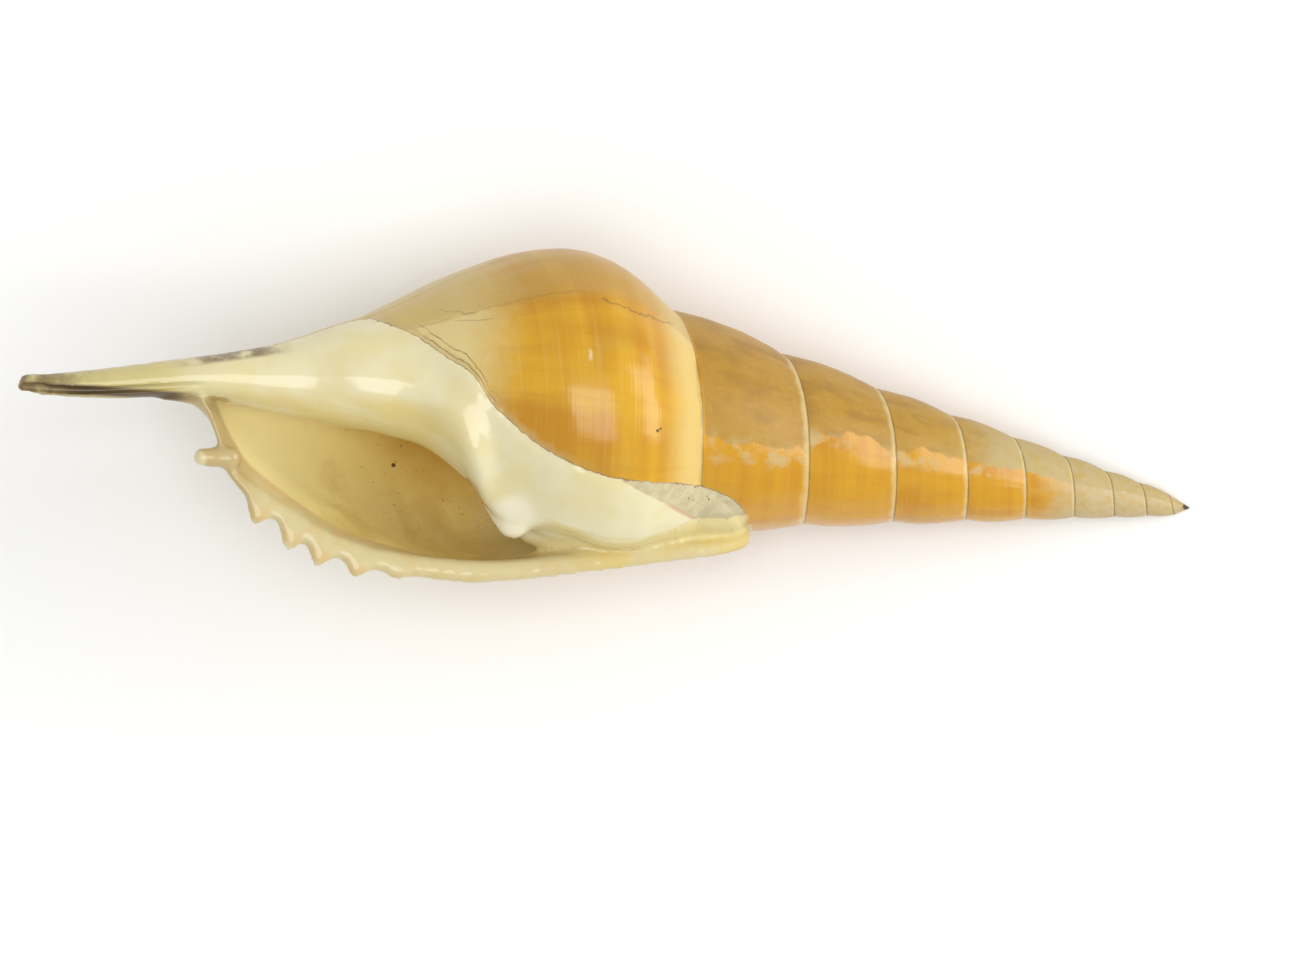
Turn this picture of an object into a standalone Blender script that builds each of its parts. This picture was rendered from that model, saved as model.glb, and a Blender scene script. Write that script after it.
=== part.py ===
"""An Arabian tibia seashell, lying on its back with the mouth up.

The shell is one piece. Its whorls follow one growth law around one axis. The last whorl is a
thin wall around the hollow mouth, and it ends in a thick outer lip with a finger and small
teeth. A pillar runs down the middle and becomes the front canal, and a callus pad spreads
from the pillar over the belly of the shell.

Lengths below are in millimetres, and a mesh is scaled to metres when it is made. A place on
the shell is given by its distance from the tip of the spire along the axis, by the number of
turns back from the outer lip, and by its distance from the axis. Half a turn back from the
lip is the side away from the lip, and three quarters of a turn back is the belly.
"""
import math

import bmesh
import bpy
import numpy as np
from mathutils import Vector

MM = 0.001

# How the shell lies: the axis is turned a little in plan, and its front end is lifted.
AXIS_TURN = math.radians(9.15)
AXIS_RISE = math.radians(12.5)
TIP_OF_SPIRE = np.array([72.7, -11.65, 0.75])
FORWARD = np.array([-math.cos(AXIS_TURN) * math.cos(AXIS_RISE),
                    math.sin(AXIS_TURN) * math.cos(AXIS_RISE),
                    math.sin(AXIS_RISE)])
AWAY_FROM_LIP = np.array([math.sin(AXIS_TURN), math.cos(AXIS_TURN), 0.0])
BELLY = np.cross(AWAY_FROM_LIP, FORWARD)

# Growth: each whorl is this share of the next one, seen from the centre of growth, which lies
# past the tip of the spire.
WHORL_RATIO = 0.82
CENTRE_OF_GROWTH = 13.7
LAST_SUTURE = 70.0
NUMBER_OF_WHORLS = 9.0
SPIRE_STARTS_AT = 0.95
SPIRE_SLOPE = 0.181
SPIRE_TIP_RADIUS = 0.8
SPIRE_TIP_LENGTH = 0.9
WIDER_FROM = 42.0
WIDER_BY = 0.0007

# The last whorl half a turn behind the lip: distance from the tip, and radius. The whorls
# before it are slimmer by a share, which sets in gradually behind the belly. At its suture a
# whorl always has the spire's radius, and it takes up its own profile within a short run.
BODY_PROFILE = [(56.0, 9.5), (64.0, 11.2), (70.0, 14.0), (74.8, 17.1), (79.0, 19.0),
                (82.6, 19.45), (87.2, 18.6), (94.5, 15.3), (101.6, 10.9), (108.5, 6.4),
                (114.0, 4.2), (121.0, 1.5), (132.0, 0.6)]
SUTURE_RUN = 10.0
EARLIER_WHORL_SLIMMER = 0.19
SLIMMER_FROM = 0.78
SLIMMER_WITHIN = 0.45

# The outer lip: distance from the tip, reach sideways from the axis, and height towards the
# belly. The whorl flares out to the lip over a part of a turn, and its margin turns out, grows
# thick and ends in a round edge.
LIP_REACH = [(54.0, 12.5), (58.4, 14.9), (65.9, 17.1), (75.8, 19.9), (85.7, 22.6), (91.5, 23.6),
             (98.4, 23.9), (102.4, 23.8), (107.7, 23.0), (111.8, 21.5), (116.2, 19.3),
             (119.0, 17.7), (122.2, 15.0), (123.9, 11.6), (125.3, 8.8), (127.4, 6.1),
             (128.5, 5.0)]
LIP_HEIGHT = [(54.0, 3.0), (65.0, 5.0), (80.0, 4.8), (95.0, 4.0), (108.0, 3.2), (120.0, 1.6),
              (128.0, 0.4)]
FLARE_TURNS = [(54.0, 0.06), (62.0, 0.13), (70.0, 0.18), (80.0, 0.2), (90.0, 0.24),
               (128.0, 0.25)]
LIP_REAR = 55.7
LIP_FRONT = 128.5
LIP_REACHES_OVER = 0.2
TURNED_OUT = 0.32
TURNED_OUT_WITHIN = 0.05
LIP_THICKNESS = [(54.0, 2.2), (66.0, 2.6), (80.0, 2.9), (112.0, 2.9), (120.0, 2.3),
                 (126.0, 1.2), (128.5, 0.8)]
LIP_THICK_WITHIN = 0.06
LIP_BULGE = 1.1

# The lip's teeth: distance from the tip and height. Each is steep in front and slopes behind.
LIP_TEETH = [(118.4, 2.4), (113.9, 2.5), (110.0, 2.1), (105.0, 1.6), (99.9, 0.7)]
TOOTH_FRONT_RUN = 0.85
TOOTH_REAR_RUN = 1.7
TOOTH_BLUNTNESS = 2.6
TOOTH_WITHIN = 0.03

# The mouth's wall and the whorl behind it, from where to where in turns.
WALL_THICKNESS = 1.7
THINNEST_RADIUS = 0.4
MOUTH_DEPTH = 0.62
WALL_CLOSER_AT_LIP = 1.6
WALL_BEHIND_SUTURE = 2.0
WALL_PAST_COIL = 5.0
COIL_STARTS_AT = 0.56
COIL_ENDS_AT = 1.62
COIL_BEHIND_SUTURE = 4.0

# The callus pad: its edge on the belly in plan, lengthwise and across, a low step at the edge
# and a swelling towards the mouth.
CALLUS_EDGE = [(-29.6, 12.0), (-25.0, 10.4), (-20.0, 7.2), (-16.6, 4.9), (-14.3, 1.4),
               (-12.6, -0.3), (-9.0, -3.4), (-4.0, -6.2), (2.2, -8.1), (10.9, -8.8),
               (15.5, -10.5), (17.1, -12.2), (17.7, -14.9)]
CALLUS_STEP = 0.45
CALLUS_STEP_WIDTH = 0.7
CALLUS_SWELL = 2.4
CALLUS_SWELL_WIDTH = 12.0
CALLUS_FROM = (0.65, 0.75)
CALLUS_TO = (0.85, 1.0)
CALLUS_WIDER = 0.08
CALLUS_WIDER_FROM = (78.0, 86.0)

# Behind the suture the callus goes on as a pad on the spire and sinks away under the lip.
PAD_TO = (0.98, 1.08)
PAD_SINKS = 5.0
PAD_BEHIND_SUTURE = 7.0
PAD_EDGE_WIDTH = 0.5
PAD_EDGE_DEPTH = 0.6
PAD_MEETS_CALLUS = (-1.0, 5.0)

# The inner lip, a ridge between callus and mouth: distance from the tip against turns back from
# the lip, and against height.
INNER_LIP_TURNS = [(84.0, 0.955), (87.6, 0.936), (90.1, 0.921), (92.2, 0.8825), (94.2, 0.852),
                   (97.3, 0.811), (101.0, 0.78)]
INNER_LIP_HEIGHT = [(82.5, 0.0), (86.0, 1.9), (88.5, 2.3), (92.0, 1.9), (97.0, 1.0),
                    (104.0, 0.0)]
INNER_LIP_RADIUS = 13.0
INNER_LIP_WIDTH = 3.2

# The finger at the front of the lip, the knob that ends the inner lip, and two folds beside it.
# Each end is a place in plan, a distance towards the belly, and a radius.
PEGS = {"finger": ((-46.8, -5.4, 1.4, 1.45), (-50.3, -5.3, 1.4, 1.15)),
        "knob": ((-13.4, -10.3, 4.0, 2.4), (-11.65, -13.2, 5.0, 2.3)),
        "upper fold": ((-8.0, -12.6, 3.4, 2.4), (-1.6, -15.6, 3.0, 2.0)),
        "lower fold": ((-9.4, -14.2, 1.0, 2.0), (-4.6, -16.0, 2.2, 1.8))}

# The pillar and the front canal: distance from the tip, offsets from the straight axis away
# from the lip and towards the belly, half width and half height.
PILLAR_ROUTE = [(60.0, 0.0, 0.0, 3.0, 3.0), (86.0, 0.1, 0.0, 3.3, 3.3),
                (98.0, 0.1, 0.0, 5.6, 5.2), (104.0, -0.1, 0.1, 6.5, 5.8),
                (108.7, -0.6, 0.1, 6.3, 5.6), (114.9, -1.7, 0.0, 4.9, 4.6),
                (121.3, -2.6, -0.3, 3.6, 3.6), (127.6, -3.55, -0.6, 2.6, 2.9),
                (133.8, -4.95, -0.9, 2.2, 2.45), (140.1, -6.4, -1.3, 1.85, 2.05),
                (145.1, -7.3, -1.6, 1.45, 1.65), (149.6, -7.8, -1.9, 1.0, 1.15)]
PILLAR_MEETS_COIL = 119.0
INTO_PILLAR_RUN = 11.0
INSIDE_PILLAR = 0.97
GROOVE_START = 125.0
GROOVE_END = 152.0
GROOVE_ASIDE = 0.45
GROOVE_HALF_WIDTH = 0.6
GROOVE_DEPTH = 1.2
GROOVE_RUN_IN = 8.0

# The finish of the form: fillets where the whorls meet the pillar, by the distance from the
# tip, and the flat spot under the back.
FILLET = [(112.0, 4.0), (120.0, 2.4), (128.5, 0.3)]
SKIN_CELL = 0.55
FACES_KEPT = 0.07
TABLE_SIZE = 400.0
SHELL_COLOUR = (0.62, 0.36, 0.17, 1.0)
SHELL_ROUGHNESS = 0.28


def smooth_line(points):
    """A smooth function through the points, which never overshoots them."""
    xs = np.array([p[0] for p in points], float)
    ys = np.array([p[1] for p in points], float)
    steps = np.diff(xs)
    slopes = np.diff(ys) / steps
    tangents = np.concatenate([slopes[:1], np.zeros(len(xs) - 2), slopes[-1:]])
    for k in range(1, len(xs) - 1):
        if slopes[k - 1] * slopes[k] > 0:
            near = 2 * steps[k] + steps[k - 1]
            far = steps[k] + 2 * steps[k - 1]
            tangents[k] = (near + far) / (near / slopes[k - 1] + far / slopes[k])

    def value(x):
        x = np.clip(x, xs[0], xs[-1])
        k = np.clip(np.searchsorted(xs, x) - 1, 0, len(xs) - 2)
        h = steps[k]
        t = (x - xs[k]) / h
        return ((1 + 2 * t) * (1 - t) ** 2 * ys[k] + t * (1 - t) ** 2 * h * tangents[k]
                + t * t * (3 - 2 * t) * ys[k + 1] + t * t * (t - 1) * h * tangents[k + 1])

    return value


body_radius = smooth_line(BODY_PROFILE)
lip_reach = smooth_line(LIP_REACH)
lip_height = smooth_line(LIP_HEIGHT)
lip_thickness = smooth_line(LIP_THICKNESS)
flare_turns = smooth_line(FLARE_TURNS)
callus_edge = smooth_line(CALLUS_EDGE)
inner_lip_turns = smooth_line(INNER_LIP_TURNS)
inner_lip_height = smooth_line(INNER_LIP_HEIGHT)
fillet = smooth_line(FILLET)
pillar_side, pillar_belly, pillar_half_width, pillar_half_height = [
    smooth_line([(p[0], p[k]) for p in PILLAR_ROUTE]) for k in range(1, 5)]


def smooth_step(x):
    """Rise gently from 0 to 1 as x goes from 0 to 1."""
    x = np.clip(x, 0.0, 1.0)
    return x * x * (3 - 2 * x)


def rises(value, low, high):
    """Rise gently from 0 at low to 1 at high."""
    return smooth_step((value - low) / (high - low))


def smooth_max(a, b, reach):
    """The larger of two values, with a round fillet where they meet."""
    near = np.maximum(reach - np.abs(a - b), 0) / reach
    return np.maximum(a, b) + near * near * reach / 4


def place(along, side, belly):
    """A point from its distance along the straight axis and its two offsets from it."""
    along, side, belly = np.broadcast_arrays(along, side, belly)
    return (TIP_OF_SPIRE + along[..., None] * FORWARD + side[..., None] * AWAY_FROM_LIP
            + belly[..., None] * BELLY)


def around(along, turns, radius):
    """A point from its distance along the pillar, turns back from the lip, and radius."""
    angle = 2 * math.pi * turns
    return place(along, pillar_side(along) - radius * np.cos(angle),
                 pillar_belly(along) - radius * np.sin(angle))


def growth(turns):
    """Size of the shell this many turns back from the lip, 1 at half a turn."""
    return WHORL_RATIO ** (turns - 0.5)


def grown(along, size):
    """Where a place of the last whorl was when the shell had this size."""
    return (along + CENTRE_OF_GROWTH) * size - CENTRE_OF_GROWTH


def suture(turns):
    """Where the rear edge of the whorl meets the whorl before it."""
    return grown(LAST_SUTURE, growth(turns))


def suture_radius(along):
    """The spire's radius at a suture: a slender cone that widens a little to the front."""
    return (SPIRE_TIP_RADIUS + SPIRE_SLOPE * along
            + WIDER_BY * np.maximum(along - WIDER_FROM, 0.0) ** 2)


def pillar_radius(along, turns):
    """The oval pillar's radius in this direction."""
    angle = 2 * math.pi * turns
    width = np.cos(angle) / pillar_half_width(along)
    height = np.sin(angle) / pillar_half_height(along)
    return 1 / np.hypot(width, height)


def with_pillar(radius, along, turns):
    """Run a whorl's surface into the pillar with a round fillet."""
    return smooth_max(radius, pillar_radius(along, turns), fillet(along))


def whorl_radius(along, turns):
    """The last whorls' outer surface: one profile that shrinks with the growth law."""
    size = growth(turns)
    slimmer = EARLIER_WHORL_SLIMMER * smooth_step((turns - SLIMMER_FROM) / SLIMMER_WITHIN)
    scale = size * (1 - slimmer)
    in_last_whorl = grown(along, 1 / size)
    near_suture = 1 - smooth_step((in_last_whorl - LAST_SUTURE) / SUTURE_RUN)
    step = suture_radius(suture(turns)) - scale * body_radius(LAST_SUTURE)
    return scale * body_radius(in_last_whorl) + near_suture * step


def spire_radius(along, turns):
    """The surface of the whorl behind the suture, a little swollen in its front half."""
    front, rear = suture(turns), suture(turns + 1)
    across = np.clip((front - along) / (front - rear), 0, 1)
    rise = suture_radius(front) - suture_radius(rear)
    return suture_radius(rear) + rise * (1 - across ** 2)


def lip_turns(along):
    """How far round the outer lip lies: a little past the start of the count."""
    height = lip_height(along) - pillar_belly(along)
    reach = lip_reach(along) + pillar_side(along)
    return -np.arctan2(height, reach) / (2 * math.pi)


def lip_radius(along):
    """The outer lip's distance from the pillar's centre line."""
    return np.hypot(lip_height(along) - pillar_belly(along), lip_reach(along) + pillar_side(along))


def edge_share(past, within):
    """Falls from 1 at the lip's edge to 0 where this many turns back are reached."""
    return np.clip(1 - past / within, 0, 1) ** 2


def flared_radius(along, turns):
    """The last whorl's outer surface, which flares to the lip and turns out at its margin."""
    lip_at = lip_turns(along)
    widening = lip_radius(along) - whorl_radius(along, lip_at)
    flare = ((1 - TURNED_OUT) * edge_share(turns - lip_at, flare_turns(along))
             + TURNED_OUT * edge_share(turns - lip_at, TURNED_OUT_WITHIN))
    return whorl_radius(along, turns) + widening * flare


def teeth_reach(along, turns):
    """How far the teeth stand out from the lip's edge."""
    reach = np.zeros(np.shape(along))
    for tooth, height in LIP_TEETH:
        behind = tooth - along
        run = np.where(behind > 0, TOOTH_REAR_RUN, TOOTH_FRONT_RUN)
        reach = reach + height * np.exp(-np.abs(behind / run) ** TOOTH_BLUNTNESS)
    return reach * edge_share(turns - lip_turns(along), TOOTH_WITHIN)


def inside_callus(points):
    """How far a point of the belly lies inside the callus's edge, seen in plan."""
    inside = callus_edge(points[:, 0]) - points[:, 1]
    return np.minimum(inside, CALLUS_EDGE[-1][0] - points[:, 0])


def callus_thickness(inside):
    """How thick the callus lies this far inside its edge."""
    return (CALLUS_STEP * smooth_step(inside / CALLUS_STEP_WIDTH)
            + CALLUS_SWELL * smooth_step(inside / CALLUS_SWELL_WIDTH))


def inner_lip_swell(along, turns):
    """How far the ridge of the inner lip swells from the whorl."""
    aside = (turns - inner_lip_turns(along)) * 2 * math.pi * INNER_LIP_RADIUS
    return inner_lip_height(along) * np.exp(-(aside / INNER_LIP_WIDTH) ** 2)


def loft(bm, sections):
    """Join closed sections, each a ring of points, into one closed body with capped ends."""
    rings = [[bm.verts.new(Vector(point) * MM) for point in ring] for ring in sections]
    for ring, following in zip(rings, rings[1:]):
        for k in range(len(ring)):
            j = (k + 1) % len(ring)
            bm.faces.new((ring[k], ring[j], following[j], following[k]))
    bm.faces.new(rings[0][::-1])
    bm.faces.new(rings[-1])


def add_tube(bm, centres, sides, ups, corners):
    """A tube of oval sections through the centres, with its ends capped."""
    angles = np.linspace(0, 2 * math.pi, corners, endpoint=False)
    loft(bm, [[centre + side * math.cos(a) + up * math.sin(a) for a in angles]
              for centre, side, up in zip(centres, sides, ups)])


def close_to_point(bm, ring, point):
    """Close a ring of corners with a fan of faces to one point."""
    middle = bm.verts.new(Vector(point) * MM)
    for here, there in zip(ring, ring[1:] + ring[:1]):
        bm.faces.new((here, there, middle))


def add_spire(bm):
    """The whorls of the spire as one strip that winds round the axis.

    The front edge of each turn is the rear edge of the turn after it, so the strip is one
    skin. It is closed by a fan inside the last whorl and by a fan at the tip.
    """
    steps_per_turn = 48
    count = round((NUMBER_OF_WHORLS - SPIRE_STARTS_AT) * steps_per_turn)
    across = np.linspace(0.0, 1.0, 9)
    lines = []
    for k in range(count + 1):
        turns = SPIRE_STARTS_AT + k / steps_per_turn
        front, rear = suture(turns - 1), suture(turns)
        along = front + (rear - front) * across
        front_radius, rear_radius = suture_radius(front), suture_radius(rear)
        radius = rear_radius + (front_radius - rear_radius) * (1 - across ** 2)
        line = [Vector(point) * MM for point in around(along, turns, radius)]
        if k < steps_per_turn:
            lines.append([bm.verts.new(point) for point in line])
        else:
            shared = lines[k - steps_per_turn][-1]
            lines.append([shared] + [bm.verts.new(point) for point in line[1:]])
    for line, following in zip(lines, lines[1:]):
        for j in range(len(across) - 1):
            bm.faces.new((line[j], line[j + 1], following[j + 1], following[j]))
    front_ring = [lines[k][0] for k in range(steps_per_turn + 1)] + lines[0][-2:0:-1]
    close_to_point(bm, front_ring, place(LAST_SUTURE + CENTRE_OF_GROWTH, 0.0, 0.0))
    tip_ring = [lines[k][-1] for k in range(count - steps_per_turn, count + 1)]
    close_to_point(bm, tip_ring + lines[-1][-2:0:-1], place(-SPIRE_TIP_LENGTH, 0.0, 0.0))


def add_coil(bm):
    """The whorl from deep in the mouth round the belly and back under the callus, filled."""
    sections = []
    for turns in np.linspace(COIL_STARTS_AT, COIL_ENDS_AT, 90):
        pad = rises(turns, *CALLUS_FROM) * rises(turns, *PAD_TO[::-1])
        rear = suture(turns) - COIL_BEHIND_SUTURE - pad * PAD_BEHIND_SUTURE
        along = np.linspace(rear, PILLAR_MEETS_COIL, 80)
        wider = CALLUS_WIDER * rises(along, *CALLUS_WIDER_FROM)
        spread = rises(turns, *CALLUS_FROM) * rises(turns - wider, *CALLUS_TO[::-1])
        radius = whorl_radius(along, turns)
        inside = inside_callus(around(along, turns, radius))
        sunk = rises(-inside, 0.0, PAD_EDGE_WIDTH) + PAD_SINKS * (1 - pad)
        on_spire = spire_radius(along, turns) - PAD_EDGE_DEPTH * sunk
        radius = np.where((along < suture(turns)) & (pad > 0), on_spire, radius)
        share = pad + (spread - pad) * rises(along - suture(turns), *PAD_MEETS_CALLUS)
        radius = radius + share * callus_thickness(inside) + inner_lip_swell(along, turns)
        radius = with_pillar(radius, along, turns)
        into_pillar = rises(along, PILLAR_MEETS_COIL - INTO_PILLAR_RUN, PILLAR_MEETS_COIL)
        radius += into_pillar * (INSIDE_PILLAR * pillar_radius(along, turns) - radius)
        ring = list(around(along, turns, radius))
        ring += list(around(along[[-1, 0]], turns, THINNEST_RADIUS))
        sections.append(ring)
    loft(bm, sections)


def wall_ring(along, turns, rounding):
    """A section of the mouth's wall: the outer surface, then the inner one back."""
    plain = with_pillar(flared_radius(along, turns), along, turns)
    outer = plain + teeth_reach(along, turns)
    thickness = (WALL_THICKNESS + (lip_thickness(along) - WALL_THICKNESS)
                 * edge_share(turns - lip_turns(along), LIP_THICK_WITHIN))
    inner = np.maximum(plain - thickness, THINNEST_RADIUS)
    narrower = (outer - inner) / 2 * (1 - math.cos(rounding))
    return (list(around(along, turns, outer - narrower))
            + list(around(along, turns, inner + narrower))[::-1])


def add_mouth_wall(bm):
    """The last whorl's wall, from its round edge at the lip to deep in the mouth."""
    points_along_wall = 110
    sections = []
    along = np.linspace(LIP_REAR, LIP_FRONT, points_along_wall)
    for rounding in np.radians([80, 60, 30]):
        bulge = LIP_BULGE * math.sin(rounding) / (2 * math.pi * lip_radius(along))
        sections.append(wall_ring(along, lip_turns(along) - bulge, rounding))
    for share in np.linspace(0.0, 1.0, 60):
        turns = MOUTH_DEPTH * share ** WALL_CLOSER_AT_LIP
        over = np.clip(1 - turns / LIP_REACHES_OVER, 0, 1)
        rear = ((suture(turns) - WALL_BEHIND_SUTURE)
                + over * (LIP_REAR + WALL_BEHIND_SUTURE - suture(0.0)))
        inside_coil = grown(PILLAR_MEETS_COIL + WALL_PAST_COIL, growth(turns))
        front = inside_coil + over * (LIP_FRONT - inside_coil)
        along = np.linspace(rear, front, points_along_wall)
        sections.append(wall_ring(along, turns + lip_turns(along) * (1 - share), 0.0))
    loft(bm, sections)


def add_pillar(bm):
    """The pillar inside the coil, which becomes the front canal."""
    along = np.linspace(PILLAR_ROUTE[0][0], PILLAR_ROUTE[-1][0], 70)
    centres = place(along, pillar_side(along), pillar_belly(along))
    add_tube(bm, centres, pillar_half_width(along)[:, None] * AWAY_FROM_LIP,
             pillar_half_height(along)[:, None] * BELLY, 20)


def over_plan(lengthwise, across, belly):
    """The point over this place in plan that lies this far towards the belly."""
    offset = np.array([lengthwise, across]) - TIP_OF_SPIRE[:2]
    level = offset @ FORWARD[:2] / math.cos(AXIS_RISE)
    along = (level + belly * math.sin(AXIS_RISE)) / math.cos(AXIS_RISE)
    return place(along, offset @ AWAY_FROM_LIP[:2], belly)


def add_peg(bm, root, tip, root_radius, tip_radius):
    """A tapered peg with round ends."""
    forward = (tip - root) / np.linalg.norm(tip - root)
    side = np.cross(forward, BELLY)
    side /= np.linalg.norm(side)
    up = np.cross(side, forward)
    centres = []
    radii = []
    for turn in np.radians(np.linspace(-80, 80, 13)):
        end, radius = (root, root_radius) if turn < 0 else (tip, tip_radius)
        centres.append(end + forward * radius * math.sin(turn))
        radii.append(radius * math.cos(turn))
    add_tube(bm, centres, [side * r for r in radii], [up * r for r in radii], 12)


def add_pegs(bm):
    """The finger on the lip, and the knob and folds beside the mouth."""
    for (*root, root_radius), (*tip, tip_radius) in PEGS.values():
        add_peg(bm, over_plan(*root), over_plan(*tip), root_radius, tip_radius)


def make_object(name, bm):
    """An object from a finished set of faces."""
    mesh = bpy.data.meshes.new(name)
    bm.to_mesh(mesh)
    bm.free()
    made = bpy.data.objects.new(name, mesh)
    bpy.context.scene.collection.objects.link(made)
    return made


def make_cutter(name, bm):
    """A closed shape that only cuts another one."""
    bmesh.ops.recalc_face_normals(bm, faces=bm.faces)
    cutter = make_object(name, bm)
    cutter.hide_render = True
    cutter.display_type = "WIRE"
    return cutter


def make_groove():
    """The groove of the front canal, which runs out of the mouth to the front tip."""
    bm = bmesh.new()
    along = np.linspace(GROOVE_START, GROOVE_END, 40)
    side = pillar_side(along) - GROOVE_ASIDE * pillar_half_width(along)
    belly = pillar_belly(along) + pillar_half_height(along)
    width = np.full((len(along), 1), GROOVE_HALF_WIDTH)
    run_in = 0.1 + 0.9 * smooth_step((along - GROOVE_START) / GROOVE_RUN_IN)
    depth = GROOVE_DEPTH * run_in[:, None]
    add_tube(bm, place(along, side, belly), width * AWAY_FROM_LIP, depth * BELLY, 12)
    return make_cutter("canal_groove", bm)


def make_table():
    """The surface that wears the small flat spot under the shell's back."""
    bm = bmesh.new()
    bmesh.ops.create_cube(bm, size=TABLE_SIZE * MM)
    bmesh.ops.translate(bm, verts=bm.verts, vec=(0, 0, -TABLE_SIZE * MM / 2))
    return make_cutter("table", bm)


def add_cut(made, name, cutter):
    """Take the cutter's shape out of an object."""
    cut = made.modifiers.new(name, "BOOLEAN")
    cut.operation = "DIFFERENCE"
    cut.solver = "EXACT"
    cut.object = cutter


def make_finish():
    """Glossy tan shell."""
    finish = bpy.data.materials.new("tan shell")
    finish.use_nodes = True
    shader = finish.node_tree.nodes["Principled BSDF"]
    shader.inputs["Base Color"].default_value = SHELL_COLOUR
    shader.inputs["Roughness"].default_value = SHELL_ROUGHNESS
    shader.inputs["Metallic"].default_value = 0.0
    return finish


def middle_in_plan(made):
    """The middle of an object's box in plan, as the viewport shows it."""
    bpy.context.view_layer.update()
    seen = made.evaluated_get(bpy.context.evaluated_depsgraph_get())
    points = np.array([vertex.co for vertex in seen.data.vertices])
    middle = (points.min(axis=0) + points.max(axis=0)) / 2
    return Vector((middle[0], middle[1], 0.0))


def make_shell():
    """The whole shell: its parts overlap, get one skin, and are cut by groove and table."""
    bm = bmesh.new()
    add_spire(bm)
    add_coil(bm)
    add_mouth_wall(bm)
    add_pillar(bm)
    add_pegs(bm)
    shell = make_object("shell", bm)
    shell.data.materials.append(make_finish())

    skin = shell.modifiers.new("one skin", "REMESH")
    skin.mode = "VOXEL"
    skin.voxel_size = SKIN_CELL * MM
    skin.use_smooth_shade = True
    smooth = shell.modifiers.new("worn smooth", "SMOOTH")
    smooth.factor = 0.5
    smooth.iterations = 3
    fewer = shell.modifiers.new("fewer faces", "DECIMATE")
    fewer.ratio = FACES_KEPT
    groove = make_groove()
    table = make_table()
    add_cut(shell, "front canal", groove)
    add_cut(shell, "flat spot", table)

    middle = middle_in_plan(shell)
    for made in (shell, groove, table):
        made.location = -middle
    return shell


for old in list(bpy.data.objects):
    bpy.data.objects.remove(old)
make_shell()
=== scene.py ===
# %% [markdown]
# # An Arabian tibia seashell
#
# The shell lies on its back with the mouth up. It grew as one piece, so it is one mesh here too.
# The lesson goes from its axis and growth law to the spire, the last whorl, the relief, the paint.

# %% Load the frame
import math

import bmesh
import bpy
import numpy as np
from mathutils import Matrix, Vector


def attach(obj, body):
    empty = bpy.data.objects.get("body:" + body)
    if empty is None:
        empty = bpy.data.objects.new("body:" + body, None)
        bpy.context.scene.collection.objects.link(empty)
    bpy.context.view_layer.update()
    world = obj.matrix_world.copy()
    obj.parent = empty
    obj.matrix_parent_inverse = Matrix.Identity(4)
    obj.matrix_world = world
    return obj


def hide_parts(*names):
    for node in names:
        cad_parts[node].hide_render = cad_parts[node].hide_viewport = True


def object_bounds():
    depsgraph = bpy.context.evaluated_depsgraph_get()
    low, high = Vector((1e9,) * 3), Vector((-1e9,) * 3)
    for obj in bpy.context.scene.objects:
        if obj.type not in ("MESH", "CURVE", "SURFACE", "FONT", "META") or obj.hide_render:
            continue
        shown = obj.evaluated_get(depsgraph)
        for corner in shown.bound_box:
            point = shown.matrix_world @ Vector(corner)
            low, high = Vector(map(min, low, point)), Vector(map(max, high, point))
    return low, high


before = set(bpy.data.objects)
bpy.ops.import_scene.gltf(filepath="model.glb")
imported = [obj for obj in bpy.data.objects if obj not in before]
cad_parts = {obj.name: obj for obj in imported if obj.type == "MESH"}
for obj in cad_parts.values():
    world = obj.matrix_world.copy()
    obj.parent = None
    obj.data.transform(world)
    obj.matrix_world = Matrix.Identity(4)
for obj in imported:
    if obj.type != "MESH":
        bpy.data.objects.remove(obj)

MM = 0.001
cad_low, cad_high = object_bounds()
print("the frame is", [round(side / MM, 1) for side in cad_high - cad_low], "mm")

# %% [markdown]
# ## Where the axis lies
#
# A shell is easiest to describe by its axis. A place has a distance from the tip of the spire
# along the axis, a number of turns back from the outer lip, and a distance from the axis. Half
# a turn back from the lip is the side away from the lip, and three quarters is the belly,
# which looks up here. Lengths are in millimetres until a mesh is made.

# %% The axis and three directions
AXIS_TURN = math.radians(9.15)
AXIS_RISE = math.radians(12.5)
TIP_OF_SPIRE = np.array([72.7, -11.65, 0.75])
FORWARD = np.array([-math.cos(AXIS_TURN) * math.cos(AXIS_RISE),
                    math.sin(AXIS_TURN) * math.cos(AXIS_RISE),
                    math.sin(AXIS_RISE)])
AWAY_FROM_LIP = np.array([math.sin(AXIS_TURN), math.cos(AXIS_TURN), 0.0])
BELLY = np.cross(AWAY_FROM_LIP, FORWARD)


def place(along, side, belly):
    """A point from its distance along the axis and its two offsets from it."""
    along, side, belly = np.broadcast_arrays(along, side, belly)
    return (TIP_OF_SPIRE + along[..., None] * FORWARD + side[..., None] * AWAY_FROM_LIP
            + belly[..., None] * BELLY)


print("the axis runs from", TIP_OF_SPIRE, "along", FORWARD.round(3))

# %% [markdown]
# ## The growth law
#
# A snail builds every whorl as an enlarged copy of the one before. Seen from one point on the
# axis, the centre of growth, each whorl is the same share of the next one. So one curve and one
# ratio give the whole spire, and the suture, the line where two whorls meet, is a spiral.

# %% Growth
WHORL_RATIO = 0.82
CENTRE_OF_GROWTH = 13.7
LAST_SUTURE = 70.0
NUMBER_OF_WHORLS = 9.0
SPIRE_STARTS_AT = 0.95
SPIRE_SLOPE = 0.181
SPIRE_TIP_RADIUS = 0.8
SPIRE_TIP_LENGTH = 0.1
WIDER_FROM = 42.0
WIDER_BY = 0.0007


def growth(turns):
    """Size of the shell this many turns back from the lip, 1 at half a turn."""
    return WHORL_RATIO ** (turns - 0.5)


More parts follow.
